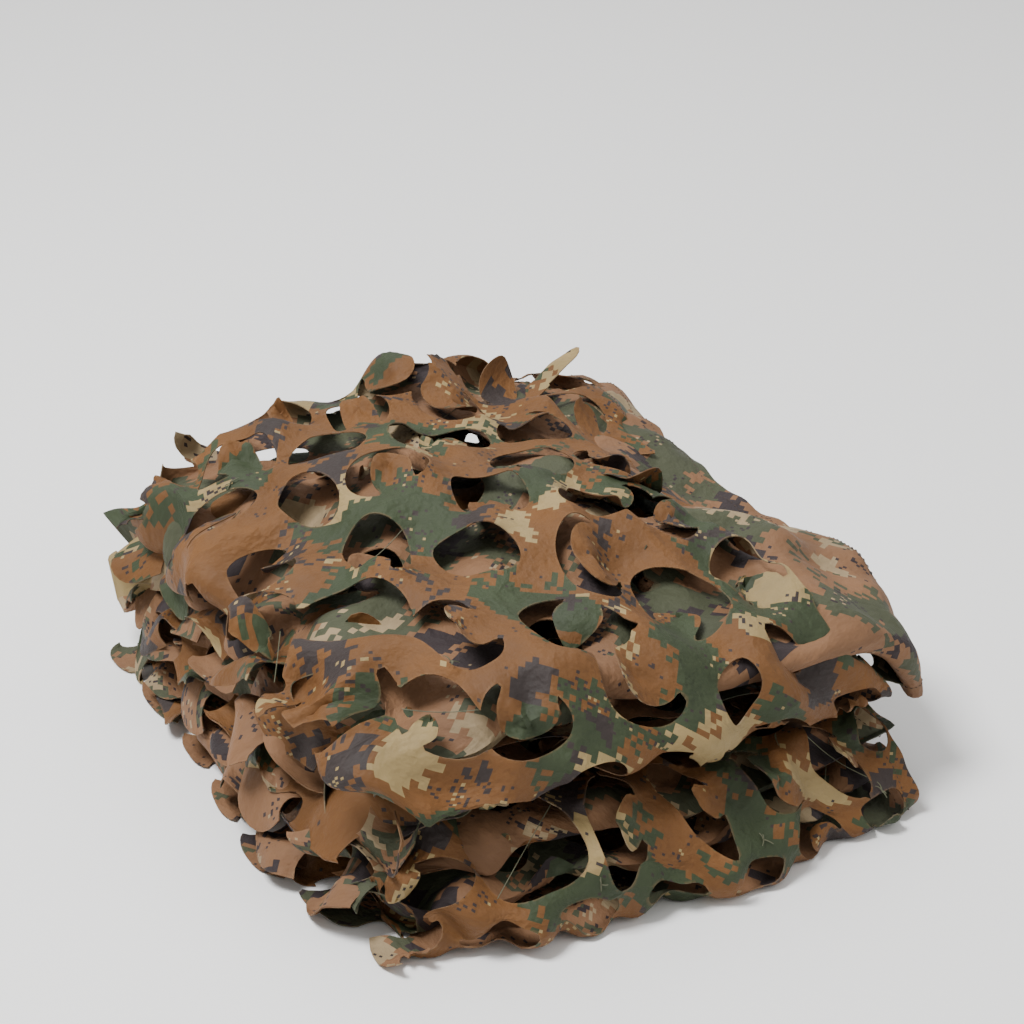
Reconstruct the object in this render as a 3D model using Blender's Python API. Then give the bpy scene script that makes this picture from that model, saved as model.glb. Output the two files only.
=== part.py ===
"""Camouflage net: one leaf-cut sheet of cloth, folded into a bundle of two stacks.

The sheet is modelled the way it is made. It is a flat strip with a hem on its right edge and a lobed
left edge, the openings are cut through it while it is flat, and it is then folded back and forth.
X runs along the front of the bundle, Y to the back and Z up. The origin is the middle of the base.
Lengths in the tables are in millimetres.
"""

import math

import bmesh
import bpy
import numpy as np

MM = 0.001

# Cloth
WIDTH = 372.0
THICK = 2.0
HEM = 12.0

# Bundle
FULL_HEIGHT = 150.0
BASE_LEVEL = THICK / 2
FRONT_BOW = 30.0
BOW_START = 60.0
BOW_DEPTH = 270.0
BOW_POWER = 1.5

# The layers in the order in which the cloth runs through them. "level" is the height in a bundle of
# FULL_HEIGHT, "front" and "back" are where the layer's flat run ends, "shift" moves the layer to the
# right, "bend" is how far the turn to the next layer reaches out, "sag" pulls that reach down or up,
# "cells" divides the run, "rows" and "turn_rows" count the rows of openings in the run and in the
# turn, "sides" is the number of sides of an opening, and "ripple" is how uneven the layer lies.
LAYER_COLUMNS = (
    "name", "level", "front", "back", "shift", "bend", "sag",
    "cells", "rows", "turn_rows", "sides", "ripple",
)
LAYERS = [
    ("lower inner 1", 57.0, -176.0, 188.0, -5.0, 6.0, 1.0, 3, 2, 0, 6, 0.8),
    ("lower inner 2", 44.0, -184.0, 184.0, 7.0, 6.0, 1.0, 3, 2, 0, 6, 0.8),
    ("lower inner 3", 31.0, -192.0, 190.0, -9.0, 6.5, 1.0, 3, 2, 0, 6, 0.8),
    ("lower inner 4", 17.0, -190.0, 194.0, 6.0, 7.0, 1.0, 3, 2, 0, 6, 0.5),
    ("base", 1.0, -206.0, 194.0, 2.0, 20.0, 0.7, 6, 6, 2, 8, 0.0),
    ("lower top", 70.0, -184.0, 195.0, -6.0, 6.0, 1.0, 3, 3, 0, 6, 1.0),
    ("upper base", 84.0, -174.0, 195.0, 8.0, 27.0, 0.8, 3, 3, 2, 8, 1.0),
    ("top", 150.0, -160.0, 198.0, -5.0, 8.0, 1.0, 6, 6, 1, 8, 1.6),
    ("upper inner 1", 134.0, -168.0, 192.0, 14.0, 7.0, 1.0, 3, 2, 0, 6, 1.0),
    ("upper inner 2", 118.0, -172.0, 186.0, 4.0, 7.0, 1.0, 3, 2, 0, 6, 1.0),
    ("upper inner 3", 101.0, -170.0, 190.0, 12.0, 0.0, 1.0, 3, 2, 0, 6, 1.0),
]

# Height of the bundle over a four by four plan: a row for each line from front to back, a value for
# each column from left to right.
PLAN_LINES = 4
PLAN_X = (-190.0, 190.0)
PLAN_Y = (-220.0, 220.0)
PLAN_HEIGHT = [
    (116.0, 132.0, 130.0, 112.0),
    (118.0, 160.0, 158.0, 118.0),
    (112.0, 168.0, 166.0, 122.0),
    (98.0, 158.0, 154.0, 118.0),
]

# Folds across the whole bundle, in its plan: their lift at the top, the length from one to the next,
# the way they turn from the X axis in radians, and where the first one starts.
FOLDS = [
    (4.5, 175.0, 0.9, 20.0),
    (3.0, 120.0, -0.6, 55.0),
]

# Grid of the flat strip
LOBE_BAND = 38.0
COLUMNS = 5
BEND_CELLS = 3
WRAP_CELLS = 6
WRAP_BEND = 15.0
SAMPLES = 48
STEP = 0.05

# Ripples in the single layers: length, slant across the sheet, slant along it, share of the height
RIPPLES = [
    (165.0, 1.0, 0.7, 1.0),
    (118.0, 0.8, -1.0, 0.5),
]
RIPPLE_LIFT = 12.0

# Openings, cut through a slab of SLAB while the sheet is flat
SLAB = 4.0
CUT_DEPTH = 10.0
UPRIGHT = 0.9
MERGE = 0.1
HOLE_SIZE = 46.0
SIZE_SPREAD = 0.06
JITTER = 2.0

# Forms of the openings, taken in turn: length and width over HOLE_SIZE, and where the first corner
# lies, which is drawn out for a drop and pushed in past the middle for a crescent.
HOLE_FORMS = [
    ("round", 1.0, 1.0, 1.0),
    ("leaf", 1.12, 0.72, 1.0),
    ("drop", 1.0, 1.0, 1.12),
    ("oval", 1.0, 0.9, 1.0),
    ("crescent", 1.0, 1.0, -0.1),
]

# Steps of the even scatter in place, size and turn, from one opening or bite to the next, in radians
ACROSS_STEP = 2.3
ALONG_STEP = 3.1
SIZE_STEP = 1.7
TURN_STEP = 2.4
BITE_SIZE_STEP = 2.1
BITE_PLACE_STEP = 1.3

# Lobed left edge: the depth and the half width of a bite between two lobes, from its mouth inwards
LOBE_PITCH = 66.0
BITE_SPREAD = 0.1
BITE_JITTER = 6.0
BITE = [
    (-3.0, 16.0),
    (6.0, 10.0),
    (19.0, 17.0),
    (31.0, 9.0),
]


def layer_rows():
    """The layer table as dictionaries."""
    return [dict(zip(LAYER_COLUMNS, row)) for row in LAYERS]


def bend_points(layer, following, at_front):
    """Points of the turn from one layer to the next: (y, z, shift, ripple)."""
    end = "front" if at_front else "back"
    outward = -1.0 if at_front else 1.0
    points = []
    for step in range(SAMPLES + 1):
        part = step / SAMPLES
        blend = (1.0 - math.cos(math.pi * part)) / 2
        reach = math.sin(math.pi * part ** layer["sag"]) * layer["bend"]
        y = layer[end] + (following[end] - layer[end]) * blend + outward * reach
        z = layer["level"] + (following["level"] - layer["level"]) * blend
        shift = layer["shift"] + (following["shift"] - layer["shift"]) * blend
        ripple = layer["ripple"] + (following["ripple"] - layer["ripple"]) * blend
        points.append((y, z, shift, ripple))
    return points


def fold_runs():
    """Every straight run and turn of the folded strip, with its cells and its rows of openings."""
    layers = layer_rows()
    runs = []
    for index, layer in enumerate(layers):
        to_front = index % 2 == 0
        first, last = ("back", "front") if to_front else ("front", "back")
        straight = []
        for step in range(SAMPLES + 1):
            y = layer[first] + (layer[last] - layer[first]) * step / SAMPLES
            straight.append((y, layer["level"], layer["shift"], layer["ripple"]))
        runs.append((straight, layer["cells"], layer["rows"], layer["sides"]))
        if index + 1 < len(layers):
            turn = bend_points(layer, layers[index + 1], to_front)
            cells = WRAP_CELLS if layer["bend"] > WRAP_BEND else BEND_CELLS
            runs.append((turn, cells, layer["turn_rows"], layer["sides"]))
    return runs


def run_length(points):
    """Length of one run along the section."""
    path = np.array(points)[:, :2]
    return float(np.hypot(*np.diff(path, axis=0).T).sum())


def strip_layout():
    """Lengths along the flat strip: the grid lines, and the middle of each row of openings."""
    lines = [0.0]
    hole_rows = []
    for points, cells, rows, sides in fold_runs():
        start = lines[-1]
        length = run_length(points)
        lines += [start + length * (cell + 1) / cells for cell in range(cells)]
        hole_rows += [(start + length * (row + 0.5) / rows, sides) for row in range(rows)]
    return lines, hole_rows


def section_table():
    """The whole section as arrays: length along the strip, y, z, shift and ripple."""
    points = []
    for run in fold_runs():
        points += run[0] if not points else run[0][1:]
    table = np.array(points)
    steps = np.hypot(*np.diff(table[:, :2], axis=0).T)
    return np.concatenate([[0.0], np.cumsum(steps)]), table


def cubic_weights(place):
    """Weights of the plan's four evenly spaced values at a place from 0 to 3."""
    weights = []
    for own in range(PLAN_LINES):
        weight = np.ones_like(place)
        for other in range(PLAN_LINES):
            if other != own:
                weight = weight * (place - other) / (own - other)
        weights.append(weight)
    return np.stack(weights, axis=-1)


def plan_height(x, y):
    """Height of the bundle over a point of its plan."""
    across = cubic_weights((PLAN_LINES - 1) * (x - PLAN_X[0]) / (PLAN_X[1] - PLAN_X[0]))
    along = cubic_weights((PLAN_LINES - 1) * (y - PLAN_Y[0]) / (PLAN_Y[1] - PLAN_Y[0]))
    height = np.einsum("...i,...j,ij->...", along, across, np.array(PLAN_HEIGHT))
    for lift, length, turn, start in FOLDS:
        distance = x * math.cos(turn) + y * math.sin(turn) - start
        height = height + lift * np.cos(2 * math.pi * distance / length)
    return height


def front_bow(across, y):
    """How far the front of the bundle bows out."""
    reach = np.clip((BOW_START - y) / BOW_DEPTH, 0.0, 1.0) ** BOW_POWER
    return FRONT_BOW * (1.0 - (across / (WIDTH / 2)) ** 2) * reach


def ripple_wave(across, along):
    """Unevenness of a single layer."""
    wave = 0.0
    for length, slant_across, slant_along, share in RIPPLES:
        distance = slant_across * across + slant_along * along
        wave = wave + share * np.sin(2 * math.pi * distance / length)
    return wave


def folded(across, along, section):
    """Place in the bundle of a point of the flat strip, on the middle of the cloth."""
    lengths, table = section
    y, level, shift, ripple = (np.interp(along, lengths, column) for column in table.T)
    scale = (plan_height(across, y) - BASE_LEVEL) / (FULL_HEIGHT - BASE_LEVEL)
    lifted = np.clip((level - BASE_LEVEL) / RIPPLE_LIFT, 0.0, 1.0)
    height = BASE_LEVEL + (level - BASE_LEVEL + ripple * lifted * ripple_wave(across, along)) * scale
    return np.stack([across + shift, y - front_bow(across, y), height], axis=-1)


def cell_of(lines, values):
    """The cell of the grid that each value lies in, and how far across it, from 0 to 1."""
    lines = np.array(lines)
    cell = np.clip(np.searchsorted(lines, values) - 1, 0, len(lines) - 2)
    part = (values - lines[cell]) / (lines[cell + 1] - lines[cell])
    return cell, part[:, None]


def folded_face(lines, side):
    """The grid of the sheet in the bundle, on its lower face (side -1) or its upper face (side 1)."""
    across, along = np.meshgrid(column_lines(), lines)
    section = section_table()
    over = folded(across + STEP, along, section) - folded(across - STEP, along, section)
    onward = folded(across, along + STEP, section) - folded(across, along - STEP, section)
    normal = np.cross(over, onward)
    normal /= np.linalg.norm(normal, axis=-1, keepdims=True)
    return folded(across, along, section) + normal * (side * THICK / 2)


def fold_strip(mesh, lines):
    """Fold the flat sheet: its grid takes its place in the bundle, and each cell carries its corners."""
    faces = np.stack([folded_face(lines, -1), folded_face(lines, 1)])
    flat = np.array([vertex.co[:] for vertex in mesh.verts])
    face = (flat[:, 2] > 0.0).astype(int)
    column, right = cell_of(column_lines(), flat[:, 0])
    line, onward = cell_of(lines, flat[:, 1])
    near = faces[face, line, column] * (1.0 - right) + faces[face, line, column + 1] * right
    far = faces[face, line + 1, column] * (1.0 - right) + faces[face, line + 1, column + 1] * right
    for vertex, place in zip(mesh.verts, near * (1.0 - onward) + far * onward):
        vertex.co = place * MM


def even_slab(mesh):
    """Rebuild the cut slab from its top, so that both of its faces have the same triangles."""
    others = [face for face in mesh.faces if face.normal.z < UPRIGHT]
    bmesh.ops.delete(mesh, geom=others, context="FACES")
    bmesh.ops.remove_doubles(mesh, verts=mesh.verts[:], dist=MERGE)
    bmesh.ops.triangulate(mesh, faces=mesh.faces[:])
    raise_slab(mesh, -SLAB)


def hole_outline(form, size, turn, sides):
    """Outline of one opening about its middle."""
    _, length, width, first_corner = form
    points = []
    for corner in range(sides):
        angle = 2 * math.pi * corner / sides
        x = length * math.cos(angle) * size / 2
        y = width * math.sin(angle) * size / 2
        if corner == 0:
            x *= first_corner
        points.append((x * math.cos(turn) - y * math.sin(turn), x * math.sin(turn) + y * math.cos(turn)))
    return points


def add_prism(mesh, outline, centre):
    """A closed upright prism of an outline, through the flat strip."""
    low = [mesh.verts.new((centre[0] + x, centre[1] + y, -CUT_DEPTH / 2)) for x, y in outline]
    face = mesh.faces.new(low)
    lifted = bmesh.ops.extrude_face_region(mesh, geom=[face])["geom"]
    top = [item for item in lifted if isinstance(item, bmesh.types.BMVert)]
    bmesh.ops.translate(mesh, verts=top, vec=(0.0, 0.0, CUT_DEPTH))


def raise_slab(mesh, height):
    """Turn a flat sheet into a closed slab, with a copy of the sheet at a height over it."""
    lifted = bmesh.ops.extrude_face_region(mesh, geom=mesh.faces[:])["geom"]
    copied = [item for item in lifted if isinstance(item, bmesh.types.BMVert)]
    bmesh.ops.translate(mesh, verts=copied, vec=(0.0, 0.0, height))
    bmesh.ops.recalc_face_normals(mesh, faces=mesh.faces[:])


def opening_places(hole_rows):
    """Middle and outline of each opening, in staggered rows across the strip."""
    first = -WIDTH / 2 + LOBE_BAND
    pitch = (WIDTH - LOBE_BAND - HEM) / COLUMNS
    places = []
    for row, (along, sides) in enumerate(hole_rows):
        holes = COLUMNS if row % 2 else COLUMNS - 1
        for hole in range(holes):
            count = row * COLUMNS + hole
            across = first + pitch * (hole + (COLUMNS + 1 - holes) / 2)
            moved = (
                across + JITTER * math.sin(ACROSS_STEP * count),
                along + JITTER * math.cos(ALONG_STEP * count),
            )
            form = HOLE_FORMS[count % len(HOLE_FORMS)]
            size = HOLE_SIZE * (1.0 + SIZE_SPREAD * math.sin(SIZE_STEP * count))
            places.append((moved, hole_outline(form, size, TURN_STEP * count, sides)))
    return places


def bite_places(total):
    """Middle and outline of each bite between the lobes of the left edge."""
    count = int(total / LOBE_PITCH)
    pitch = total / count
    places = []
    for bite in range(count):
        grow = 1.0 + BITE_SPREAD * math.sin(BITE_SIZE_STEP * bite)
        upper = [(depth * grow, half_width) for depth, half_width in BITE]
        lower = [(depth * grow, -half_width) for depth, half_width in reversed(BITE)]
        middle = pitch * (bite + 0.5) + BITE_JITTER * math.sin(BITE_PLACE_STEP * bite)
        places.append(((-WIDTH / 2, middle), lower + upper))
    return places


def cutter_mesh(hole_rows, total):
    """All the openings and the bites of the lobed edge, as one mesh of prisms."""
    mesh = bmesh.new()
    for centre, outline in opening_places(hole_rows) + bite_places(total):
        add_prism(mesh, outline, centre)
    bmesh.ops.recalc_face_normals(mesh, faces=mesh.faces[:])
    return mesh


def column_lines():
    """Grid lines across the strip: its edges, and the lines between the columns of openings."""
    first = -WIDTH / 2 + LOBE_BAND
    pitch = (WIDTH - LOBE_BAND - HEM) / COLUMNS
    inner = [first + pitch * column for column in range(COLUMNS)]
    return [-WIDTH / 2, *inner, WIDTH / 2]


def flat_strip(lines):
    """The uncut flat strip: a closed slab, divided at the grid lines."""
    columns = column_lines()
    mesh = bmesh.new()
    grid = bmesh.ops.create_grid(
        mesh, x_segments=len(columns) - 1, y_segments=len(lines) - 1, size=WIDTH / 2
    )
    for index, vertex in enumerate(grid["verts"]):
        line, column = divmod(index, len(columns))
        vertex.co = (columns[column], lines[line], -SLAB / 2)
    raise_slab(mesh, SLAB)
    return mesh


def mesh_object(name, mesh, collection):
    """An object in a collection, from a bmesh."""
    data = bpy.data.meshes.new(name)
    mesh.to_mesh(data)
    mesh.free()
    piece = bpy.data.objects.new(name, data)
    collection.objects.link(piece)
    return piece


def net_material():
    """Brown camouflage cloth."""
    material = bpy.data.materials.new("camouflage_cloth")
    material.use_nodes = True
    shader = material.node_tree.nodes["Principled BSDF"]
    shader.inputs["Base Color"].default_value = (0.27, 0.14, 0.07, 1.0)
    shader.inputs["Roughness"].default_value = 0.8
    shader.inputs["Metallic"].default_value = 0.0
    return material


def new_collection(name):
    """A collection under the scene's own."""
    collection = bpy.data.collections.new(name)
    bpy.context.scene.collection.children.link(collection)
    return collection


def cut_strip(lines, hole_rows, parts, cutters):
    """The flat strip with its openings and its lobed edge cut through, as a bmesh."""
    strip = mesh_object("net_cloth", flat_strip(lines), parts)
    cutter = mesh_object("net_openings", cutter_mesh(hole_rows, lines[-1]), cutters)
    cutter.hide_render = True
    cutter.display_type = "WIRE"
    cut = strip.modifiers.new("openings", "BOOLEAN")
    cut.object = cutter
    cut.operation = "DIFFERENCE"
    cut.solver = "EXACT"
    graph = bpy.context.evaluated_depsgraph_get()
    flat = bmesh.new()
    flat.from_object(strip, graph)
    strip.modifiers.remove(cut)
    return strip, flat


def stand_on_origin(mesh):
    """Centre the bundle over the origin, with its base at height 0."""
    places = np.array([vertex.co[:] for vertex in mesh.verts])
    low, high = places.min(axis=0), places.max(axis=0)
    middle = (low + high) / 2
    bmesh.ops.translate(mesh, verts=mesh.verts[:], vec=(-middle[0], -middle[1], 0.0))


def main():
    for leftover in list(bpy.data.objects):
        bpy.data.objects.remove(leftover)
    parts = new_collection("camouflage_net")
    cutters = new_collection("cutters")
    lines, hole_rows = strip_layout()
    net, sheet = cut_strip(lines, hole_rows, parts, cutters)
    even_slab(sheet)
    fold_strip(sheet, lines)
    stand_on_origin(sheet)
    bmesh.ops.recalc_face_normals(sheet, faces=sheet.faces[:])
    sheet.to_mesh(net.data)
    sheet.free()
    net.data.materials.append(net_material())


main()
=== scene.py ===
import math

import bpy
import numpy as np
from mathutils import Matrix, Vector


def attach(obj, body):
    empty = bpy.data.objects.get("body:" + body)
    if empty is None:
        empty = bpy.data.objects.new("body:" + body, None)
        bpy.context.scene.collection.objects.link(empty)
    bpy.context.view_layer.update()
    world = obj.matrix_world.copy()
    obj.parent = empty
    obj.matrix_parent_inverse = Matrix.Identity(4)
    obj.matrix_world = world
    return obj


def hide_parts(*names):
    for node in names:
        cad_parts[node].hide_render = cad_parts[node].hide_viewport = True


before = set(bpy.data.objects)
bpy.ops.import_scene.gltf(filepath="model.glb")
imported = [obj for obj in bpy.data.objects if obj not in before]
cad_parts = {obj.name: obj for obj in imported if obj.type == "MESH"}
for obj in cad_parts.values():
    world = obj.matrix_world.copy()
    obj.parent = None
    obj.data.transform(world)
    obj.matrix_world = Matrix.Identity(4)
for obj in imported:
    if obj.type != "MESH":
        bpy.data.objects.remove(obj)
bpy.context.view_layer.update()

# Looks of the camouflage net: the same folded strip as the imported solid, cut with its real curved
# openings and tongues, with its lobes, lips and creases, its two printed faces, its hem and strings.
# Lengths in the tables are in millimetres and angles in degrees. "across" runs from the left edge of
# the cloth to its right, "along" runs along the strip, and a face that looks out of the bundle at the
# top and at the front is the printed one.

MM = 0.001

# Cloth
WIDTH = 372.0
HALF = WIDTH / 2
THICK = 0.7
HEM = 12.0
HEM_RISE = 0.7
HEM_STEP = (HALF - HEM - 0.8, HALF - HEM + 0.4)

# Bundle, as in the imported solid
FULL_HEIGHT = 150.0
BASE_LEVEL = 1.0
FRONT_BOW = 30.0
BOW_START = 60.0
BOW_DEPTH = 270.0
BOW_POWER = 1.5

# Layers in the order of the strip: height, front and back end, sideways shift, reach and sag of the
# turn after it, rows of hidden openings in the layer and in its turn, and ripple
LAYER_COLUMNS = (
    "name", "level", "front", "back", "shift", "bend", "sag", "rows", "turn_rows", "ripple",
)
LAYERS = [
    ("lower inner 1", 57.0, -176.0, 188.0, -5.0, 6.0, 1.0, 5, 0, 0.8),
    ("lower inner 2", 44.0, -184.0, 184.0, 7.0, 6.0, 1.0, 5, 0, 0.8),
    ("lower inner 3", 31.0, -192.0, 190.0, -9.0, 6.5, 1.0, 5, 0, 0.8),
    ("lower inner 4", 17.0, -190.0, 194.0, 6.0, 7.0, 1.0, 5, 0, 0.5),
    ("base", 1.0, -206.0, 194.0, 2.0, 20.0, 0.7, 6, 0, 0.0),
    ("lower top", 70.0, -184.0, 195.0, -6.0, 6.0, 1.0, 5, 0, 1.0),
    ("upper base", 84.0, -174.0, 195.0, 8.0, 27.0, 0.8, 5, 0, 1.0),
    ("top", 150.0, -160.0, 198.0, -5.0, 8.0, 1.0, 0, 0, 1.6),
    ("upper inner 1", 136.0, -168.0, 192.0, 14.0, 7.0, 1.0, 6, 0, 1.0),
    ("upper inner 2", 121.0, -172.0, 186.0, 4.0, 7.0, 1.0, 5, 0, 1.0),
    ("upper inner 3", 103.0, -170.0, 190.0, 12.0, 0.0, 1.0, 5, 0, 1.0),
]

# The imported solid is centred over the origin, which moves the folded strip by this much
SOLID_SHIFT = (-2.7, 23.0, 0.0)

# Height of the bundle over its plan: four rows from the front to the back, each from left to right
PLAN_X = (-190.0, 190.0)
PLAN_Y = (-220.0, 220.0)
PLAN_HEIGHT = [
    (116.0, 132.0, 130.0, 112.0),
    (118.0, 160.0, 158.0, 118.0),
    (112.0, 168.0, 166.0, 122.0),
    (98.0, 158.0, 154.0, 118.0),
]

# Low folds that run across the whole bundle, and ripples of each layer for itself
FOLD_COLUMNS = ("lift", "length", "turn", "start")
FOLDS = [
    (4.5, 175.0, 0.9, 20.0),
    (3.0, 120.0, -0.6, 55.0),
]
RIPPLE_COLUMNS = ("length", "slant_across", "slant_along", "share")
RIPPLES = [
    (165.0, 1.0, 0.7, 1.0),
    (118.0, 0.8, -1.0, 0.5),
]
RIPPLE_LIFT = 12.0
TURN_KEYS = ("level", "shift", "ripple")
SAMPLES = 48
STEP = 0.4

# Openings given one by one: middle and size of the opening, its turn, how round it is (2 is an
# ellipse, less is a pointed leaf), and its tongue: the way it points, how much of the opening it
# fills, its half width, and how far it curls, up (+) or down (-). "along" starts at the lower end
# of the wrap that the openings lie on.
OPENING_COLUMNS = (
    "across", "along", "wide", "long", "turn", "round", "points", "flap", "slim", "neck", "curl",
)
UPPER_OPENINGS = [
    (-160, 22, 44, 32, 10, 2.0, 60, 0.6, 0.8, 9, -60),
    (-112, 20, 50, 30, -10, 1.7, 100, 0.5, 0.8, 9, -50),
    (-50, 20, 40, 28, 20, 2.0, 80, 0.0, 1.0, 0, 0),
    (22, 18, 46, 28, 0, 2.0, 250, 0.5, 0.9, 9, 45),
    (86, 20, 42, 30, -15, 1.8, 90, 0.5, 0.8, 8, -40),
    (146, 26, 38, 34, 0, 2.0, 90, 0.6, 0.8, 9, -30),
    (-78, 70, 52, 40, -22, 2.0, 232, 0.74, 0.9, 15, -24),
    (2, 80, 52, 68, -20, 2.2, 196, 0.78, 0.86, 22, 22),
    (105, 77, 20, 32, 25, 1.7, 0, 0.0, 1.0, 0, 0),
    (160, 84, 40, 48, 10, 2.0, 240, 0.6, 0.8, 9, 40),
    (-120, 94, 36, 60, 34, 1.7, 30, 0.5, 0.6, 7, -75),
    (60, 60, 24, 44, -34, 1.7, 0, 0.0, 1.0, 0, 0),
    (-158, 131, 54, 56, 0, 2.3, 236, 0.8, 0.9, 20, -20),
    (-84, 140, 42, 70, 6, 2.6, 170, 0.6, 0.8, 14, 70),
    (-17, 121, 64, 48, -36, 1.6, 226, 0.62, 0.7, 10, -70),
    (66, 130, 52, 62, 24, 2.0, 48, 0.62, 0.75, 12, -60),
    (120, 138, 36, 54, 10, 2.0, 100, 0.6, 0.8, 10, -45),
    (26, 170, 40, 68, -24, 2.0, 200, 0.8, 0.9, 18, 16),
    (-116, 188, 50, 64, 12, 2.2, 320, 0.62, 0.62, 9, -85),
    (-158, 214, 46, 60, 0, 2.2, 285, 0.6, 0.5, 8, -60),
    (-32, 206, 38, 56, 38, 1.6, 130, 0.0, 1.0, 0, 0),
    (103, 198, 34, 48, -20, 2.0, 200, 0.78, 0.9, 14, 14),
    (68, 222, 64, 42, 6, 2.1, 262, 0.78, 0.9, 18, 20),
    (148, 214, 46, 66, 12, 2.0, 180, 0.6, 0.8, 12, -40),
    (-82, 240, 42, 62, -14, 2.1, 60, 0.6, 0.6, 9, -80),
    (4, 254, 46, 52, 0, 2.2, 60, 0.66, 0.8, 12, -44),
    (-134, 276, 38, 54, 0, 2.0, 200, 0.5, 0.8, 8, 60),
    (52, 284, 54, 48, -12, 2.0, 70, 0.6, 0.7, 10, -60),
    (110, 276, 50, 54, 20, 1.9, 250, 0.7, 0.8, 13, 30),
    (-42, 302, 56, 44, 8, 2.1, 80, 0.7, 0.7, 12, 20),
    (-92, 314, 34, 46, 0, 2.0, 0, 0.0, 1.0, 0, 0),
    (160, 300, 42, 62, 0, 2.0, 90, 0.5, 0.8, 9, -50),
    (14, 342, 70, 46, -6, 2.1, 88, 0.66, 0.66, 13, -16),
    (-146, 352, 56, 50, 0, 2.1, 30, 0.76, 0.7, 10, -24),
    (86, 342, 52, 50, 12, 2.0, 280, 0.66, 0.8, 12, 35),
    (-56, 366, 54, 48, 0, 2.0, 70, 0.6, 0.8, 12, -60),
    (138, 374, 46, 52, -10, 2.0, 90, 0.5, 0.8, 9, 50),
    (-106, 398, 46, 50, 10, 2.0, 86, 0.72, 0.7, 10, 40),
    (52, 396, 50, 56, 8, 2.1, 266, 0.86, 0.8, 13, 14),
    (-14, 408, 40, 50, 0, 2.0, 80, 0.72, 0.8, 12, 26),
    (-148, 430, 50, 50, 0, 2.0, 80, 0.6, 0.5, 9, 40),
    (62, 446, 34, 40, 0, 2.0, 90, 0.66, 0.7, 9, 50),
    (98, 430, 46, 50, 0, 2.1, 92, 0.62, 1.0, 9, 100),
    (150, 430, 60, 50, 0, 2.0, 22, 0.9, 0.32, 8, 62),
    (-60, 440, 48, 46, 0, 2.0, 86, 0.6, 0.6, 9, 74),
    (24, 436, 50, 46, 0, 2.1, 262, 0.84, 0.8, 14, 12),
    (-114, 452, 40, 42, 0, 2.0, 272, 0.5, 0.7, 9, 70),
    (-22, 474, 34, 28, 0, 2.0, 270, 0.7, 0.7, 9, 100),
    (130, 470, 40, 28, 0, 2.0, 270, 0.7, 0.6, 9, 80),
]
LOWER_OPENINGS = [
    (-166, 28, 36, 26, 0, 2.0, 90, 0.5, 0.8, 7, 40),
    (-118, 24, 44, 18, 10, 1.8, 90, 0.0, 1.0, 0, 0),
    (-62, 26, 40, 22, -20, 1.7, 60, 0.0, 1.0, 9, 0),
    (-6, 22, 40, 16, 0, 2.0, 90, 0.0, 1.0, 9, 0),
    (50, 24, 40, 20, 14, 1.8, 90, 0.0, 1.0, 0, 0),
    (104, 24, 42, 32, -10, 2.0, 120, 0.6, 0.8, 9, -45),
    (158, 28, 36, 36, 0, 1.8, 90, 0.5, 0.8, 9, 40),
    (-150, 70, 74, 36, 8, 1.6, 280, 0.5, 0.7, 9, -50),
    (-82, 78, 60, 62, 0, 2.5, 330, 0.5, 0.5, 10, -80),
    (-26, 72, 34, 80, -16, 1.9, 186, 0.62, 0.6, 12, 30),
    (30, 76, 30, 74, 14, 1.7, 180, 0.5, 0.6, 9, 40),
    (86, 74, 32, 66, 18, 1.8, 190, 0.78, 0.9, 16, 16),
    (140, 76, 36, 60, 8, 1.9, 190, 0.6, 0.7, 10, 40),
    (178, 82, 16, 34, 0, 1.8, 0, 0.0, 1.0, 0, 0),
]

# Openings of the hidden layers, in staggered rows: openings in a row, their size and how much it
# varies, how far they are off their place, and the share that keeps a tongue. The layer under the
# top keeps a third of them and none at its right end, and the one on the floor none at its front.
LOBE_BAND = 38.0
HIDDEN_COLUMNS = 5
HIDDEN_SIZE = 47.0
HIDDEN_SPREAD = 9.0
HIDDEN_SHIFT = 4.0
HIDDEN_TONGUES = 0.6
WHOLE_LAYER = "upper inner 1"
WHOLE_BAND = 80.0
FLOOR_LAYER = "base"
WHOLE_FRONT = 90.0

# Rims of the openings: how far around an opening its cut and its lips are worked out, how wide the
# lips are, over what width a tongue parts from the cloth, and how much it twists
CUT_MARGIN = 16.0
LIP_MARGIN = 30.0
LIP_WIDTH = 8.0
TONGUE_SEAM = 3.0
TONGUE_TWIST = 0.25
LIFT_LEAST, LIFT_MOST = 1.8, 4.2
WOBBLE_LEAST, WOBBLE_MOST = 0.02, 0.06

# Lobed left edge: depth of a bite's round end and its radius, half width and flare of its mouth
LOBE_PITCH = 66.0
BITE_DEPTH = 19.0
BITE_RADIUS = 14.0
BITE_NECK = 6.5
LOBE_ROUND = 12.0
LOBE_ROOT = 36.0
LOBE_LEAN = 0.02
LOBE_LIFT = 0.75
TOP_BITE_SHARE = 0.7

# Where the right edge of the top is cut back, so that the layer under it shows: middle along the
# strip from the wrap's lower end, half length and depth, and the curl of the cut edge
EDGE_CUT_COLUMNS = ("along", "half_length", "depth")
EDGE_CUTS = [
    (36, 56, 12),
    (134, 58, 46),
    (196, 60, 50),
    (262, 44, 30),
    (336, 40, 12),
]
CUT_CURL = 50.0
CURL_WIDTH = 20.0
CURL_WAVE = 17.0
WHOLE_EDGE = HALF - 0.5
UNCUT = 60.0

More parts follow.
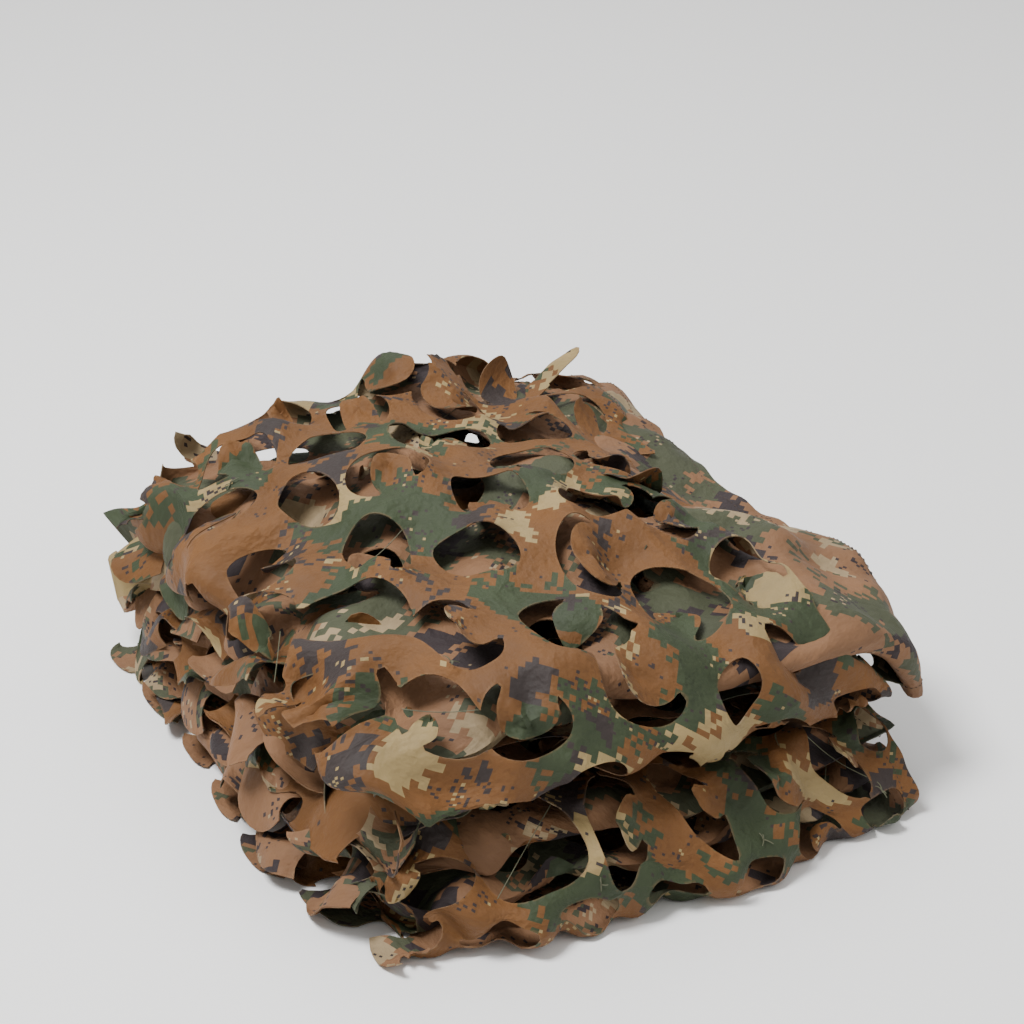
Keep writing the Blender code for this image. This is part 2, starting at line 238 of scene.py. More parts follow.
# Creases of the top and the upper wrap: from one point to another, half width, and lift or sink
CREASE_COLUMNS = ("across", "along", "to_across", "to_along", "half_width", "lift")
CREASES = [
    (-185, 60, -60, 108, 13, 3.5),
    (-60, 108, 40, 96, 12, -3.5),
    (60, 50, 150, 120, 14, 4.0),
    (-140, 165, -100, 260, 12, -4.5),
    (-60, 170, 10, 240, 13, 4.5),
    (40, 150, 60, 260, 12, -4.0),
    (90, 160, 160, 200, 14, 4.0),
    (-150, 300, -60, 330, 13, 4.5),
    (-20, 280, 30, 360, 12, -4.5),
    (60, 300, 120, 400, 14, 5.0),
    (-120, 400, 20, 420, 12, 4.0),
    (20, 40, 20, 90, 9, 3.0),
    (-30, 40, -45, 95, 9, -3.0),
    (115, 30, 105, 100, 9, -3.0),
]

# The two lengths of cloth that are shown as two pieces, to keep each mesh light, and the steps of
# their grids: across, along where the cloth is seen, and along where it is hidden. A grid point that
# is nearer to a cut than the share SNAP of a step moves onto it.
SHEET_COLUMNS = ("name", "first", "last", "across", "seen", "hidden")
SHEETS = [
    ("lower_stack_cloth", "lower inner 1", "lower top", 3.6, 3.1, 5.0),
    ("upper_stack_cloth", "upper base", "upper inner 3", 3.35, 2.85, 4.7),
]
SNAP = 0.3
RIM_WIDTH = 10.0

# Waves, ridges and crumples of each layer for itself, more at its loose left end, and how much
# calmer the lower wrap is than the hidden layers
OWN_WAVE = 3.8
LEFT_WAVE = 5.1
RIDGE = 2.4
LEAST_CRUMPLE = 0.6
CRUMPLE = 2.2
LOWER_CALM = 0.25
WAVE_SHARE = 0.8

# Waves of the layers together, and rise and sway of their left ends
COMMON_WAVE = 3.2
LEFT_RISE = 6.0
LEFT_SWAY = 8.0

# Seed, shortest and longest wave and number of waves of each noise of the cloth
NOISES = {
    "ridges": (5, 70.0, 150.0, 8),
    "waves": (11, 46.0, 120.0, 14),
    "crumples": (43, 26.0, 60.0, 10),
    "right edge": (37, 60.0, 170.0, 6),
    "foot": (53, 24.0, 120.0, 12),
    "common": (3, 90.0, 190.0, 14),
    "left ends": (29, 40.0, 90.0, 14),
    "left sway": (31, 50.0, 110.0, 14),
}

# How far the front of the lower stack and the right end of the upper one stand proud of the solid,
# and how uneven the foot of the lower stack's front and the right edge are
LOWER_BULGE = 7.0
RAGGED = 4.6
FOOT_LIFT = 1.3
RIGHT_REACH = 4.0
EDGE_WAVE = 2.4

# Where such a move starts and where it is full: towards the front, the right or the left, or up
FRONT_ZONE = (90.0, 190.0)
BULGE_DEPTH = (-70.0, -30.0)
FOOT_HEIGHT = (12.0, 60.0)
RIGHT_ZONE = (60.0, HALF)
RIGHT_HEIGHT = (80.0, 100.0)
RIGHT_FORWARD = (-40.0, 140.0)
LEFT_ZONE = (90.0, HALF)
LEFT_LOOSE = (70.0, 165.0)
TUCK_ZONE = (110.0, HALF)
TUCK_FORWARD = (120.0, 195.0)
HANG_ZONE = (96.0, 176.0)
INNER_ZONE = (-40.0, 80.0)
END_ZONE = (0.0, 130.0)
LIFTED_LEVEL = 22.0
FLOOR_SHARE = 0.25
FLOOR_GAP = 0.5

# How far the left side stands out, from the front of the bundle to its back: y, and reach
LEFT_REACHES = [
    (-190, 4),
    (-150, 10),
    (-95, 23),
    (-50, 22),
    (-10, 15),
    (50, 8),
    (110, 7),
    (200, 7),
]

# How the right end of the upper stack's inner layers hangs at the front: where it starts across the
# cloth, how far it turns down, how far it stands out, and its share at three levels
HANG_START = 108.0
HANG_ANGLE = 84.0
HANG_REACH = 22.0
HANG_FORWARD = 10.0
HANG_LEVELS = (84.0, 103.0, 136.0)
HANG_SHARES = (0.3, 0.5, 1.0)
INNER_REACH = 19.0
CORNER_TUCK = 4.0

# Uneven spots of the whole bundle: middle, half width, and lift or sink at the top
SPOT_COLUMNS = ("x", "y", "half_width", "lift")
SPOTS = [
    (-180, 190, 70, -9),
    (165, 190, 62, 10),
    (40, 205, 45, 4),
    (-60, 150, 45, -4),
    (20, -60, 50, 4),
    (-110, -60, 50, -4),
]

# Limits of the bundle, which its lobes and lips bend back from
LOW_X, HIGH_X, HIGH_Y = -216.0, 220.4, 227.0


def rows(columns, table):
    """A table as dictionaries."""
    return [dict(zip(columns, row)) for row in table]


def bend_points(layer, following, at_front):
    """Points of the turn from one layer to the next: (y, z, shift, ripple)."""
    end = "front" if at_front else "back"
    outward = -1.0 if at_front else 1.0
    points = []
    for step in range(SAMPLES + 1):
        part = step / SAMPLES
        blend = (1.0 - math.cos(math.pi * part)) / 2
        reach = math.sin(math.pi * part ** layer["sag"]) * layer["bend"]
        y = layer[end] + (following[end] - layer[end]) * blend + outward * reach
        values = [layer[key] + (following[key] - layer[key]) * blend for key in TURN_KEYS]
        points.append((y, *values))
    return points


def fold_runs():
    """Every straight run and turn of the folded strip, by name."""
    layers = rows(LAYER_COLUMNS, LAYERS)
    runs = []
    for index, layer in enumerate(layers):
        to_front = index % 2 == 0
        first, last = ("back", "front") if to_front else ("front", "back")
        straight = []
        for step in range(SAMPLES + 1):
            y = layer[first] + (layer[last] - layer[first]) * step / SAMPLES
            straight.append((y, layer["level"], layer["shift"], layer["ripple"]))
        runs.append((layer["name"], straight, layer["rows"]))
        if index + 1 < len(layers):
            turn = bend_points(layer, layers[index + 1], to_front)
            runs.append((layer["name"] + " turn", turn, layer["turn_rows"]))
    return runs


def section_of_strip():
    """The whole section: lengths along the strip, its points, and where each run starts and ends."""
    points, spans, start = [], {}, 0.0
    for name, run, _ in fold_runs():
        path = np.array(run)[:, :2]
        length = float(np.hypot(*np.diff(path, axis=0).T).sum())
        spans[name] = (start, start + length)
        start += length
        points += run if not points else run[1:]
    table = np.array(points)
    steps = np.hypot(*np.diff(table[:, :2], axis=0).T)
    return np.concatenate([[0.0], np.cumsum(steps)]), table, spans


LENGTHS, SECTION, SPANS = section_of_strip()
UPPER_WRAP = SPANS["upper base turn"]
LOWER_WRAP = SPANS["base turn"]
TOP = SPANS["top"]
STRIP = LENGTHS[-1]


def cubic_weights(place):
    """Weights of the plan's four evenly spaced values at a place from 0 to 3."""
    weights = []
    for own in range(4):
        weight = np.ones_like(place)
        for other in range(4):
            if other != own:
                weight = weight * (place - other) / (own - other)
        weights.append(weight)
    return np.stack(weights, axis=-1)


def plan_height(x, y):
    """Height of the bundle over a point of its plan."""
    across = cubic_weights(3.0 * (x - PLAN_X[0]) / (PLAN_X[1] - PLAN_X[0]))
    along = cubic_weights(3.0 * (y - PLAN_Y[0]) / (PLAN_Y[1] - PLAN_Y[0]))
    height = np.einsum("...i,...j,ij->...", along, across, np.array(PLAN_HEIGHT))
    for fold in rows(FOLD_COLUMNS, FOLDS):
        distance = x * math.cos(fold["turn"]) + y * math.sin(fold["turn"]) - fold["start"]
        height = height + fold["lift"] * np.cos(math.tau * distance / fold["length"])
    return height


def ripple_wave(across, along):
    """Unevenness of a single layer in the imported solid."""
    wave = 0.0
    for ripple in rows(RIPPLE_COLUMNS, RIPPLES):
        distance = ripple["slant_across"] * across + ripple["slant_along"] * along
        wave = wave + ripple["share"] * np.sin(math.tau * distance / ripple["length"])
    return wave


def folded(across, along):
    """Place in the bundle of a point of the flat strip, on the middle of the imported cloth."""
    y, level, shift, ripple = (np.interp(along, LENGTHS, column) for column in SECTION.T)
    scale = (plan_height(across, y) - BASE_LEVEL) / (FULL_HEIGHT - BASE_LEVEL)
    lifted = np.clip((level - BASE_LEVEL) / RIPPLE_LIFT, 0.0, 1.0)
    height = BASE_LEVEL + (level - BASE_LEVEL + ripple * lifted * ripple_wave(across, along)) * scale
    bow = np.clip((BOW_START - y) / BOW_DEPTH, 0.0, 1.0) ** BOW_POWER
    y = y - FRONT_BOW * (1.0 - (across / HALF) ** 2) * bow
    return np.stack([across + shift, y, height], axis=-1)


def unit(vectors):
    """Vectors of length 1."""
    return vectors / np.maximum(np.linalg.norm(vectors, axis=-1, keepdims=True), 1e-9)


def smooth(value, low, high):
    """0 below low, 1 above high, and a soft step between."""
    part = np.clip((value - low) / (high - low), 0.0, 1.0)
    return part * part * (3.0 - 2.0 * part)


def between(value, first, last, soft):
    """1 between first and last, 0 outside, with soft steps."""
    return smooth(value, first - soft, first + soft) * (1.0 - smooth(value, last - soft, last + soft))


def frames(across, along):
    """The two directions of the cloth and its printed side, at points of the strip."""
    over = unit(folded(across + STEP, along) - folded(across - STEP, along))
    onward = unit(folded(across, along + STEP) - folded(across, along - STEP))
    return over, onward, unit(np.cross(over, onward))


def soft_noise(x, y, seed, shortest, longest, waves=14):
    """Even, smooth noise of about -1 to 1, made of crossing waves."""
    draw = np.random.default_rng(seed)
    total = np.zeros(np.shape(x))
    for _ in range(waves):
        length = draw.uniform(shortest, longest)
        turn = draw.uniform(0.0, math.tau)
        start = draw.uniform(0.0, math.tau)
        total += np.sin(math.tau * (x * math.cos(turn) + y * math.sin(turn)) / length + start)
    return total / math.sqrt(waves)


def noise(name, x, y):
    """One of the named noises of the cloth."""
    return soft_noise(x, y, *NOISES[name])


# ------------------------------------------------------------------ the cut pattern


def hand_openings():
    """The openings given one by one, along the whole strip."""
    placed = []
    for table, start in ((UPPER_OPENINGS, UPPER_WRAP[0]), (LOWER_OPENINGS, LOWER_WRAP[0])):
        for row in rows(OPENING_COLUMNS, table):
            row["along"] += start
            placed.append(row)
    return placed


def hidden_openings():
    """The openings of the layers inside the bundle, in staggered rows."""
    draw = np.random.default_rng(41)
    first = -HALF + LOBE_BAND
    pitch = (WIDTH - LOBE_BAND - HEM) / HIDDEN_COLUMNS
    placed, count = [], 0
    for name, _, row_count in fold_runs():
        start, end = SPANS[name]
        for row in range(row_count):
            along = start + (end - start) * (row + 0.5) / row_count
            holes = HIDDEN_COLUMNS if count % 2 else HIDDEN_COLUMNS - 1
            count += 1
            for hole in range(holes):
                across = first + pitch * (hole + (HIDDEN_COLUMNS + 1 - holes) / 2)
                if name == WHOLE_LAYER and (across > WHOLE_BAND or (row + hole) % 3 != 0):
                    continue
                if name == FLOOR_LAYER and along > end - WHOLE_FRONT:
                    continue
                tongue = draw.random() < HIDDEN_TONGUES
                placed.append({
                    "across": across + draw.uniform(-HIDDEN_SHIFT, HIDDEN_SHIFT),
                    "along": along + draw.uniform(-HIDDEN_SHIFT, HIDDEN_SHIFT),
                    "wide": HIDDEN_SIZE + draw.uniform(-1, 1) * HIDDEN_SPREAD,
                    "long": HIDDEN_SIZE + draw.uniform(-1, 1) * HIDDEN_SPREAD,
                    "turn": draw.uniform(-40, 40),
                    "round": draw.uniform(1.6, 2.2),
                    "points": draw.uniform(0, 360),
                    "flap": draw.uniform(0.5, 0.8) if tongue else 0.0,
                    "slim": draw.uniform(0.7, 1.0),
                    "neck": draw.uniform(7, 11),
                    "curl": draw.uniform(20, 95) * (1 if draw.random() < 0.4 else -1),
                })
    return placed


OPENINGS = hand_openings() + hidden_openings()
RIM_DRAW = np.random.default_rng(97)
for opening in OPENINGS:
    opening["lift"] = RIM_DRAW.uniform(LIFT_LEAST, LIFT_MOST)
    opening["waves"] = int(RIM_DRAW.integers(1, 4))
    opening["start"] = RIM_DRAW.uniform(0.0, math.tau)
    opening["wobble"] = RIM_DRAW.uniform(WOBBLE_LEAST, WOBBLE_MOST)


def near_opening(opening, across, along, margin):
    """Which points lie in or around an opening."""
    reach = (opening["wide"] + opening["long"]) / 2 + margin
    near = np.flatnonzero(np.abs(along - opening["along"]) < reach)
    return near[np.abs(across[near] - opening["across"]) < reach]


def opening_places(opening, across, along):
    """Where points lie in an opening: past its edge, its angle, and along and beside its tongue."""
    x, y = across - opening["across"], along - opening["along"]
    turn = math.radians(opening["turn"])
    right = (x * math.cos(turn) + y * math.sin(turn)) / (opening["wide"] / 2)
    up = (y * math.cos(turn) - x * math.sin(turn)) / (opening["long"] / 2)
    power = opening["round"]
    size = (np.abs(right) ** power + np.abs(up) ** power) ** (1.0 / power)
    angle = np.arctan2(y, x)
    size = size * (1.0 + opening["wobble"] * np.sin(3.0 * angle + opening["start"]))
    past = (size - 1.0) * min(opening["wide"], opening["long"]) / 2
    way = math.radians(opening["points"])
    forward = x * math.cos(way) + y * math.sin(way)
    beside = y * math.cos(way) - x * math.sin(way)
    return past, angle, forward, beside


def opening_radius(opening):
    """Radius of an opening along its tongue."""
    way = math.radians(opening["points"] - opening["turn"])
    power = opening["round"]
    right = abs(math.cos(way)) / (opening["wide"] / 2)
    up = abs(math.sin(way)) / (opening["long"] / 2)
    return (right ** power + up ** power) ** (-1.0 / power)


def bite_rows():
    """Middle and depth share of each bite of the lobed edge, and the curl of the lobe after it."""
    draw = np.random.default_rng(23)
    count = int(STRIP / LOBE_PITCH)
    pitch = STRIP / count
    found = []
    for bite in range(count):
        middle = pitch * (bite + 0.5) + draw.uniform(-7, 7)
        share = TOP_BITE_SHARE if TOP[0] < middle < TOP[1] else draw.uniform(0.9, 1.1)
        found.append((middle, share, draw.uniform(20, 130), draw.uniform(-14, 10)))
    return np.array(found)


BITES = bite_rows()


def edge_field(across, along):
    """How far a point lies inside the lobed left edge, past the bites."""
    order = np.clip(np.searchsorted(BITES[:, 0], along), 1, len(BITES) - 1)
    before, after = BITES[order - 1], BITES[order]
    centre = (before[:, 0] + after[:, 0]) / 2
    half = (after[:, 0] - before[:, 0]) / 2
    part = np.clip(np.abs(along - centre) / half, 0.0, 1.0)
    depth = across + HALF
    inside = depth - LOBE_ROUND * part ** 2.6
    for bite in (before, after):
        gap = np.abs(along - bite[:, 0])
        radius, deep = BITE_RADIUS * bite[:, 1], BITE_DEPTH * bite[:, 1]
        ball = np.hypot(gap, depth - deep) - radius
        neck = np.where(depth < deep, gap - BITE_NECK, ball)
        inside = np.minimum(inside, np.minimum(ball, neck))
    return inside


def flap_field(opening, forward, beside):
    """How far points lie inside the flap that stays on one side of an opening."""
    radius, scale, half = opening_radius(opening), opening["flap"], opening["neck"]
    way = math.radians(opening["points"])
    out = (forward + radius) / scale - radius
    aside = beside / (scale * opening["slim"])
    flat_x = opening["across"] + out * math.cos(way) - aside * math.sin(way)
    flat_y = opening["along"] + out * math.sin(way) + aside * math.cos(way)
    flap = -opening_places(opening, flat_x, flat_y)[0] * scale * opening["slim"]
    neck = np.minimum(half - np.abs(beside), -0.5 * radius - forward)
    return np.maximum(flap, neck)


def right_edge(along):
    """Where the right edge of the cloth lies."""
    depth = np.zeros_like(along)
    for cut in rows(EDGE_CUT_COLUMNS, EDGE_CUTS):
        part = np.clip(np.abs(along - UPPER_WRAP[0] - cut["along"]) / cut["half_length"], 0.0, 1.0)
        depth = np.maximum(depth, cut["depth"] * np.sqrt(1.0 - part ** 2.4))
    return HALF - depth


def cloth_field(across, along):
    """How far a point lies inside the cloth, from its nearest cut: negative in an opening."""
    edge = right_edge(along)
    cut_back = np.where(edge < WHOLE_EDGE, edge - across, UNCUT)
    field = np.minimum(edge_field(across, along), cut_back)
    for opening in OPENINGS:
        near = near_opening(opening, across, along, CUT_MARGIN)
        past, _, forward, beside = opening_places(opening, across[near], along[near])
        if opening["flap"] > 0.0:
            past = np.maximum(past, flap_field(opening, forward, beside))
        field[near] = np.minimum(field[near], past)
    return field


# ------------------------------------------------------------------ how the cloth lies


def curl_place(distance, length, angle):
    """A strip curled by an angle over its length: how far its points move along it and out of it."""
    bend = np.radians(angle) / length
    bend = np.where(np.abs(bend) < 1e-5, 1e-5, bend)
    return np.sin(bend * distance) / bend - distance, (1.0 - np.cos(bend * distance)) / bend


def opening_moves(across, along):
    """Moves over, along and out of the cloth: lifted lips of the openings and curled tongues."""
    moves = np.zeros((3, len(across)))
    for opening in OPENINGS:
        near = near_opening(opening, across, along, LIP_MARGIN)
        past, angle, forward, beside = opening_places(opening, across[near], along[near])
        lip = np.exp(-np.maximum(past, 0.0) / LIP_WIDTH)
        wave = np.cos(opening["waves"] * angle + opening["start"])
        moves[2, near] += opening["lift"] * lip * wave
        if opening["flap"] > 0.0:
            radius = opening_radius(opening)
            length = 2.0 * radius * opening["flap"]
            run = np.maximum(forward + 0.9 * radius, 0.0) * smooth(-past, 0.0, TONGUE_SEAM)
            back, out = curl_place(run, length, opening["curl"])
            way = math.radians(opening["points"])
            twist = TONGUE_TWIST * math.sin(opening["start"]) * beside * run / length
            moves[0, near] += back * math.cos(way)
            moves[1, near] += back * math.sin(way)
            moves[2, near] += out + twist
    return moves


def lobe_moves(across, along, printed_up):
    """Moves of the lobes of the left edge, which hang and curl."""
    order = np.clip(np.searchsorted(BITES[:, 0], along) - 1, 0, len(BITES) - 1)
    run = np.maximum(-HALF + LOBE_ROOT - across, 0.0)
    back, out = curl_place(run, LOBE_ROOT, BITES[order, 2])
    down = np.where(printed_up < 0.0, 1.0, -1.0)
    return -back - run * LOBE_LEAN * BITES[order, 3], out * down * LOBE_LIFT


def crease_lift(across, along):
    """Lift of the creases listed for the top and the upper wrap."""
    lift = np.zeros_like(across)
    for crease in rows(CREASE_COLUMNS, CREASES):
        start = np.array([crease["across"], crease["along"] + UPPER_WRAP[0]])
        end = np.array([crease["to_across"], crease["to_along"] + UPPER_WRAP[0]])
        span = end - start
        place = ((across - start[0]) * span[0] + (along - start[1]) * span[1]) / (span @ span)
        place = np.clip(place, 0.0, 1.0)
        gap = np.hypot(across - start[0] - place * span[0], along - start[1] - place * span[1])
        fade = np.sin(math.pi * np.clip(place, 0.06, 0.94))
        lift += crease["lift"] * fade * np.exp(-((gap / crease["half_width"]) ** 2))
    return lift


def forward_share(across, level):
    """Share of the lower stack's bulge at the front, where the cloth wraps round it."""
    return (1.0 - (across / HALF) ** 2) * smooth(-level, *BULGE_DEPTH)


def hidden_share(along):
    """1 where the strip is inside the bundle, 0 on the top and upper wrap, between on the lower wrap."""
    seen = np.zeros_like(along)
    for first, last, calm in ((UPPER_WRAP[0], TOP[1], 1.0), (*LOWER_WRAP, LOWER_CALM)):
        seen = np.maximum(seen, between(along, first, last, 15.0) * calm)
    return 1.0 - seen


def hang_share(along, level):
    """How far a layer of the upper stack hangs at its right end: most for the inner layer on top."""
    base_end = SPANS["upper base"][1]
    under = (along >= SPANS["upper base"][0]) * (1.0 - smooth(along, base_end - 70.0, base_end - 5.0))
    inside = np.where(along >= SPANS["upper inner 1"][0], 1.0, under)
    return inside * np.interp(level, HANG_LEVELS, HANG_SHARES)


def own_waves(across, along, left):
    """Waves and ridges of each layer for itself, and its crumples inside the bundle."""
    ridged = 1.0 - 2.0 * np.abs(noise("ridges", across, along))
    waves = noise("waves", across, along) * (OWN_WAVE + LEFT_WAVE * left) + RIDGE * ridged
    return waves + noise("crumples", across, along) * (LEAST_CRUMPLE + CRUMPLE * hidden_share(along))


def curl_cut_edge(place, over, printed, across, along):
    """Curls the cloth along the cut-back right edge of the top."""
    edge = right_edge(along)
    run = np.where(edge < WHOLE_EDGE, np.maximum(across - edge + CURL_WIDTH, 0.0), 0.0)
    back, sink = curl_place(run, CURL_WIDTH, CUT_CURL)
    uneven = 0.4 + 0.6 * np.sin(along / CURL_WAVE)
    place += over * back[:, None] - printed * (sink * uneven)[:, None]


def shape_front(place, forward, across, along, level):
    """Bulges the front of the lower stack and makes its foot uneven."""
    front = smooth(forward, *FRONT_ZONE)
    place[:, 1] -= LOWER_BULGE * forward_share(across, level) * front
    ragged = RAGGED * front * (1.0 - smooth(level, *FOOT_HEIGHT))
    uneven = noise("foot", across, along)
    place[:, 1] += ragged * uneven
    place[:, 2] += FOOT_LIFT * ragged * np.maximum(uneven - 0.1, 0.0)


def shape_sides(place, forward, across, along, level):
    """Moves the right side of the upper stack and the left side of both outwards."""
    right = smooth(across, *RIGHT_ZONE)
    place[:, 0] += RIGHT_REACH * right * smooth(level, *RIGHT_HEIGHT) * smooth(forward, *RIGHT_FORWARD)
    place[:, 0] += EDGE_WAVE * right * noise("right edge", along, level)
    place[:, 0] -= np.interp(-forward, *zip(*LEFT_REACHES)) * smooth(-across, *LEFT_ZONE)
    place[:, 0] += CORNER_TUCK * smooth(-across, *TUCK_ZONE) * smooth(forward, *TUCK_FORWARD)


def lift_spots(place, base, level):
    """Lifts or sinks the uneven spots of the whole bundle."""
    for spot in rows(SPOT_COLUMNS, SPOTS):
        gap = np.hypot(base[:, 0] - spot["x"], base[:, 1] - spot["y"])
        place[:, 2] += spot["lift"] * np.exp(-((gap / spot["half_width"]) ** 2)) * level / FULL_HEIGHT


def hang_right_end(place, forward, across, along, level):
    """Lets the right end of the upper stack's inner layers stand out, and hang at the front."""
    share = hang_share(along, level)
    hang = share * smooth(forward, *HANG_ZONE)
    run = np.maximum(across - HANG_START, 0.0)
    back, sink = curl_place(run, HALF - HANG_START, HANG_ANGLE * hang)
    end_share = smooth(across, *END_ZONE)
    reach = INNER_REACH * share * smooth(forward, *INNER_ZONE) + HANG_REACH * hang
    place[:, 0] += back + reach * end_share
    place[:, 1] -= HANG_FORWARD * hang * end_share
    place[:, 2] -= sink


def sway_layers(place, base, across, along, lifted, left):
    """Lets the layers rise and fall together, and their left ends sway."""
    place[:, 2] += lifted * COMMON_WAVE * noise("common", base[:, 0], base[:, 1])
    place[:, 2] += lifted * left * LEFT_RISE * noise("left ends", across, along)
    place[:, 0] += lifted * left * LEFT_SWAY * noise("left sway", across, along)


def soft_limit(value, limit, width):
    """Values bent to stay above a limit."""
    return limit + np.logaddexp(0.0, (value - limit) / width) * width


def cloth_place(across, along):
    """Place in the bundle of points of the strip, with lips, tongues, lobes and creases."""
    base = folded(across, along)
    over, onward, printed = frames(across, along)
    level = np.interp(along, LENGTHS, SECTION[:, 1])
    lifted = smooth(level, BASE_LEVEL, LIFTED_LEVEL)
    left = smooth(-across, *LEFT_LOOSE)
    forward = -base[:, 1]
    rim_over, rim_onward, rim_out = opening_moves(across, along)
    lobe_back, lobe_out = lobe_moves(across, along, printed[:, 2])
    out = rim_out * (FLOOR_SHARE + (1.0 - FLOOR_SHARE) * lifted)
    out += (own_waves(across, along, left) * WAVE_SHARE + lobe_out) * lifted
    out += crease_lift(across, along)
    place = base + printed * out[:, None]
    place += over * (rim_over + lobe_back * lifted)[:, None] + onward * rim_onward[:, None]
    curl_cut_edge(place, over, printed, across, along)
    shape_front(place, forward, across, along, level)
    shape_sides(place, forward, across, along, level)
    lift_spots(place, base, level)
    hang_right_end(place, forward, across, along, level)
    sway_layers(place, base, across, along, lifted, left)
    place[:, 2] = soft_limit(place[:, 2], FLOOR_GAP, 1.2)
    place[:, 0] = soft_limit(place[:, 0], LOW_X, 1.5)
    place[:, 0] = -soft_limit(-place[:, 0], -HIGH_X, 1.5)
    place[:, 1] = -soft_limit(-place[:, 1], -HIGH_Y, 1.5)
    return place


# ------------------------------------------------------------------ meshes


def spread(start, end, step):
    """Evenly spaced values from start to end, about a step apart, without the end."""
    count = max(1, round((end - start) / step))
    return list(start + (end - start) * np.arange(count) / count)


def along_lines(sheet):
    """Grid lines along one length of the strip: close where the cloth is seen."""
    names = [name for name, _, _ in fold_runs()]
    lines = []
    for name in names[names.index(sheet["first"]):names.index(sheet["last"]) + 2]:
        seen = name in ("upper base turn", "top", "base turn", "top turn")
        lines += spread(*SPANS[name], sheet["seen"] if seen else sheet["hidden"])
        end = SPANS[name][1]
    return np.array(lines + [end])


def trimmed_grid(sheet):
    """The flat cloth with its openings cut: points of the strip, triangles, and room to the cuts."""
    lines = along_lines(sheet)
    columns = np.array(spread(-HALF, HALF, sheet["across"]) + [HALF])
    across, along = (values.ravel() for values in np.meshgrid(columns, lines))
    field = cloth_field(across, along)
    slope_over = (cloth_field(across + STEP, along) - cloth_field(across - STEP, along)) / (2 * STEP)
    slope_on = (cloth_field(across, along + STEP) - cloth_field(across, along - STEP)) / (2 * STEP)
    steepness = np.maximum(slope_over ** 2 + slope_on ** 2, 0.05)
    inner = (np.abs(across) < HALF - 0.1) & (along > lines[0]) & (along < lines[-1])
    near = inner & (np.abs(field) < SNAP * sheet["seen"] * np.sqrt(steepness))
    across[near] -= (field * slope_over / steepness)[near]
    along[near] -= (field * slope_on / steepness)[near]
    field[near] = 0.0
    wide = len(columns)
    corner = (np.arange(len(lines) - 1)[:, None] * wide + np.arange(wide - 1)[None, :])
    even = ((np.arange(len(lines) - 1)[:, None] + np.arange(wide - 1)[None, :]) % 2 == 0).ravel()
    a, b, c, d = corner.ravel(), corner.ravel() + 1, corner.ravel() + wide + 1, corner.ravel() + wide
    first = np.where(even[:, None], np.stack([a, b, c], 1), np.stack([a, b, d], 1))
    second = np.where(even[:, None], np.stack([a, c, d], 1), np.stack([b, c, d], 1))
    return cut_triangles(np.stack([across, along], 1), np.concatenate([first, second]), field)


def rolled(triangles, first):
    """Triangles turned so that a chosen corner comes first."""
    order = (first[:, None] + np.arange(3)[None, :]) % 3
    return np.take_along_axis(triangles, order, axis=1)


def cut_triangles(points, triangles, field):
    """Triangles cut off where the field is negative."""
    sign = np.sign(field)[triangles]
    plus, minus = (sign > 0).sum(1), (sign < 0).sum(1)
    kept = [triangles[(minus == 0) & (plus > 0)]]
    split = triangles[(plus > 0) & (minus > 0)]
    signs = np.sign(field)[split]
    ups, downs = (signs > 0).sum(1), (signs < 0).sum(1)
    edges = []

    def cut_point(inside, outside):
        edges.append(np.stack([inside, outside], 1))
        return len(points) + sum(len(edge) for edge in edges[:-1]) + np.arange(len(inside))

    one = rolled(split[(ups == 1) & (downs == 2)], np.argmax(signs[(ups == 1) & (downs == 2)] > 0, 1))
    first, second = cut_point(one[:, 0], one[:, 1]), cut_point(one[:, 0], one[:, 2])
    kept.append(np.stack([one[:, 0], first, second], 1))
    two = rolled(split[(ups == 2) & (downs == 1)], np.argmax(signs[(ups == 2) & (downs == 1)] < 0, 1))
    near, far = cut_point(two[:, 1], two[:, 0]), cut_point(two[:, 2], two[:, 0])
    kept += [np.stack([near, two[:, 1], two[:, 2]], 1), np.stack([near, two[:, 2], far], 1)]
    touching = (ups == 1) & (downs == 1)
    half = rolled(split[touching], np.argmax(signs[touching] < 0, 1))
    up_next = field[half[:, 1]] > 0
    for chosen, up in ((up_next, 1), (~up_next, 2)):
        part = half[chosen]
        kept.append(np.stack([cut_point(part[:, up], part[:, 0]), part[:, 1], part[:, 2]], 1))
    pairs = np.concatenate(edges)
    keys, place = np.unique(pairs, axis=0, return_inverse=True)
    place = place.ravel()
    inside, outside = keys[:, 0], keys[:, 1]
    share = (field[inside] / (field[inside] - field[outside]))[:, None]
    cuts = points[inside] * (1.0 - share) + points[outside] * share
    merged = np.concatenate(kept)
    new = merged >= len(points)
    merged[new] = len(points) + place[merged[new] - len(points)]
    everything = np.concatenate([points, cuts])
    room = np.concatenate([field, np.zeros(len(cuts))])
    merged = largest_part(merged, len(everything))
    used, renumbered = np.unique(merged, return_inverse=True)
    return everything[used], renumbered.reshape(-1, 3), room[used]


def largest_part(triangles, count):
    """The triangles that hang together with most of the others."""
    label = np.arange(count)
    while True:
        lowest = label[triangles].min(1)
        before = label.copy()
        for corner in range(3):
            np.minimum.at(label, triangles[:, corner], lowest)
        label = label[label]
        if np.array_equal(before, label):
            break
    names, sizes = np.unique(label[triangles[:, 0]], return_counts=True)
    return triangles[label[triangles[:, 0]] == names[np.argmax(sizes)]]


def open_edges(triangles):
    """Edges with cloth on one side only, in the triangles' own direction."""
    edges = np.concatenate([triangles[:, [0, 1]], triangles[:, [1, 2]], triangles[:, [2, 0]]])
    size = triangles.max() + 1
    forward, backward = edges[:, 0] * size + edges[:, 1], edges[:, 1] * size + edges[:, 0]
    return edges[~np.isin(forward, backward)]


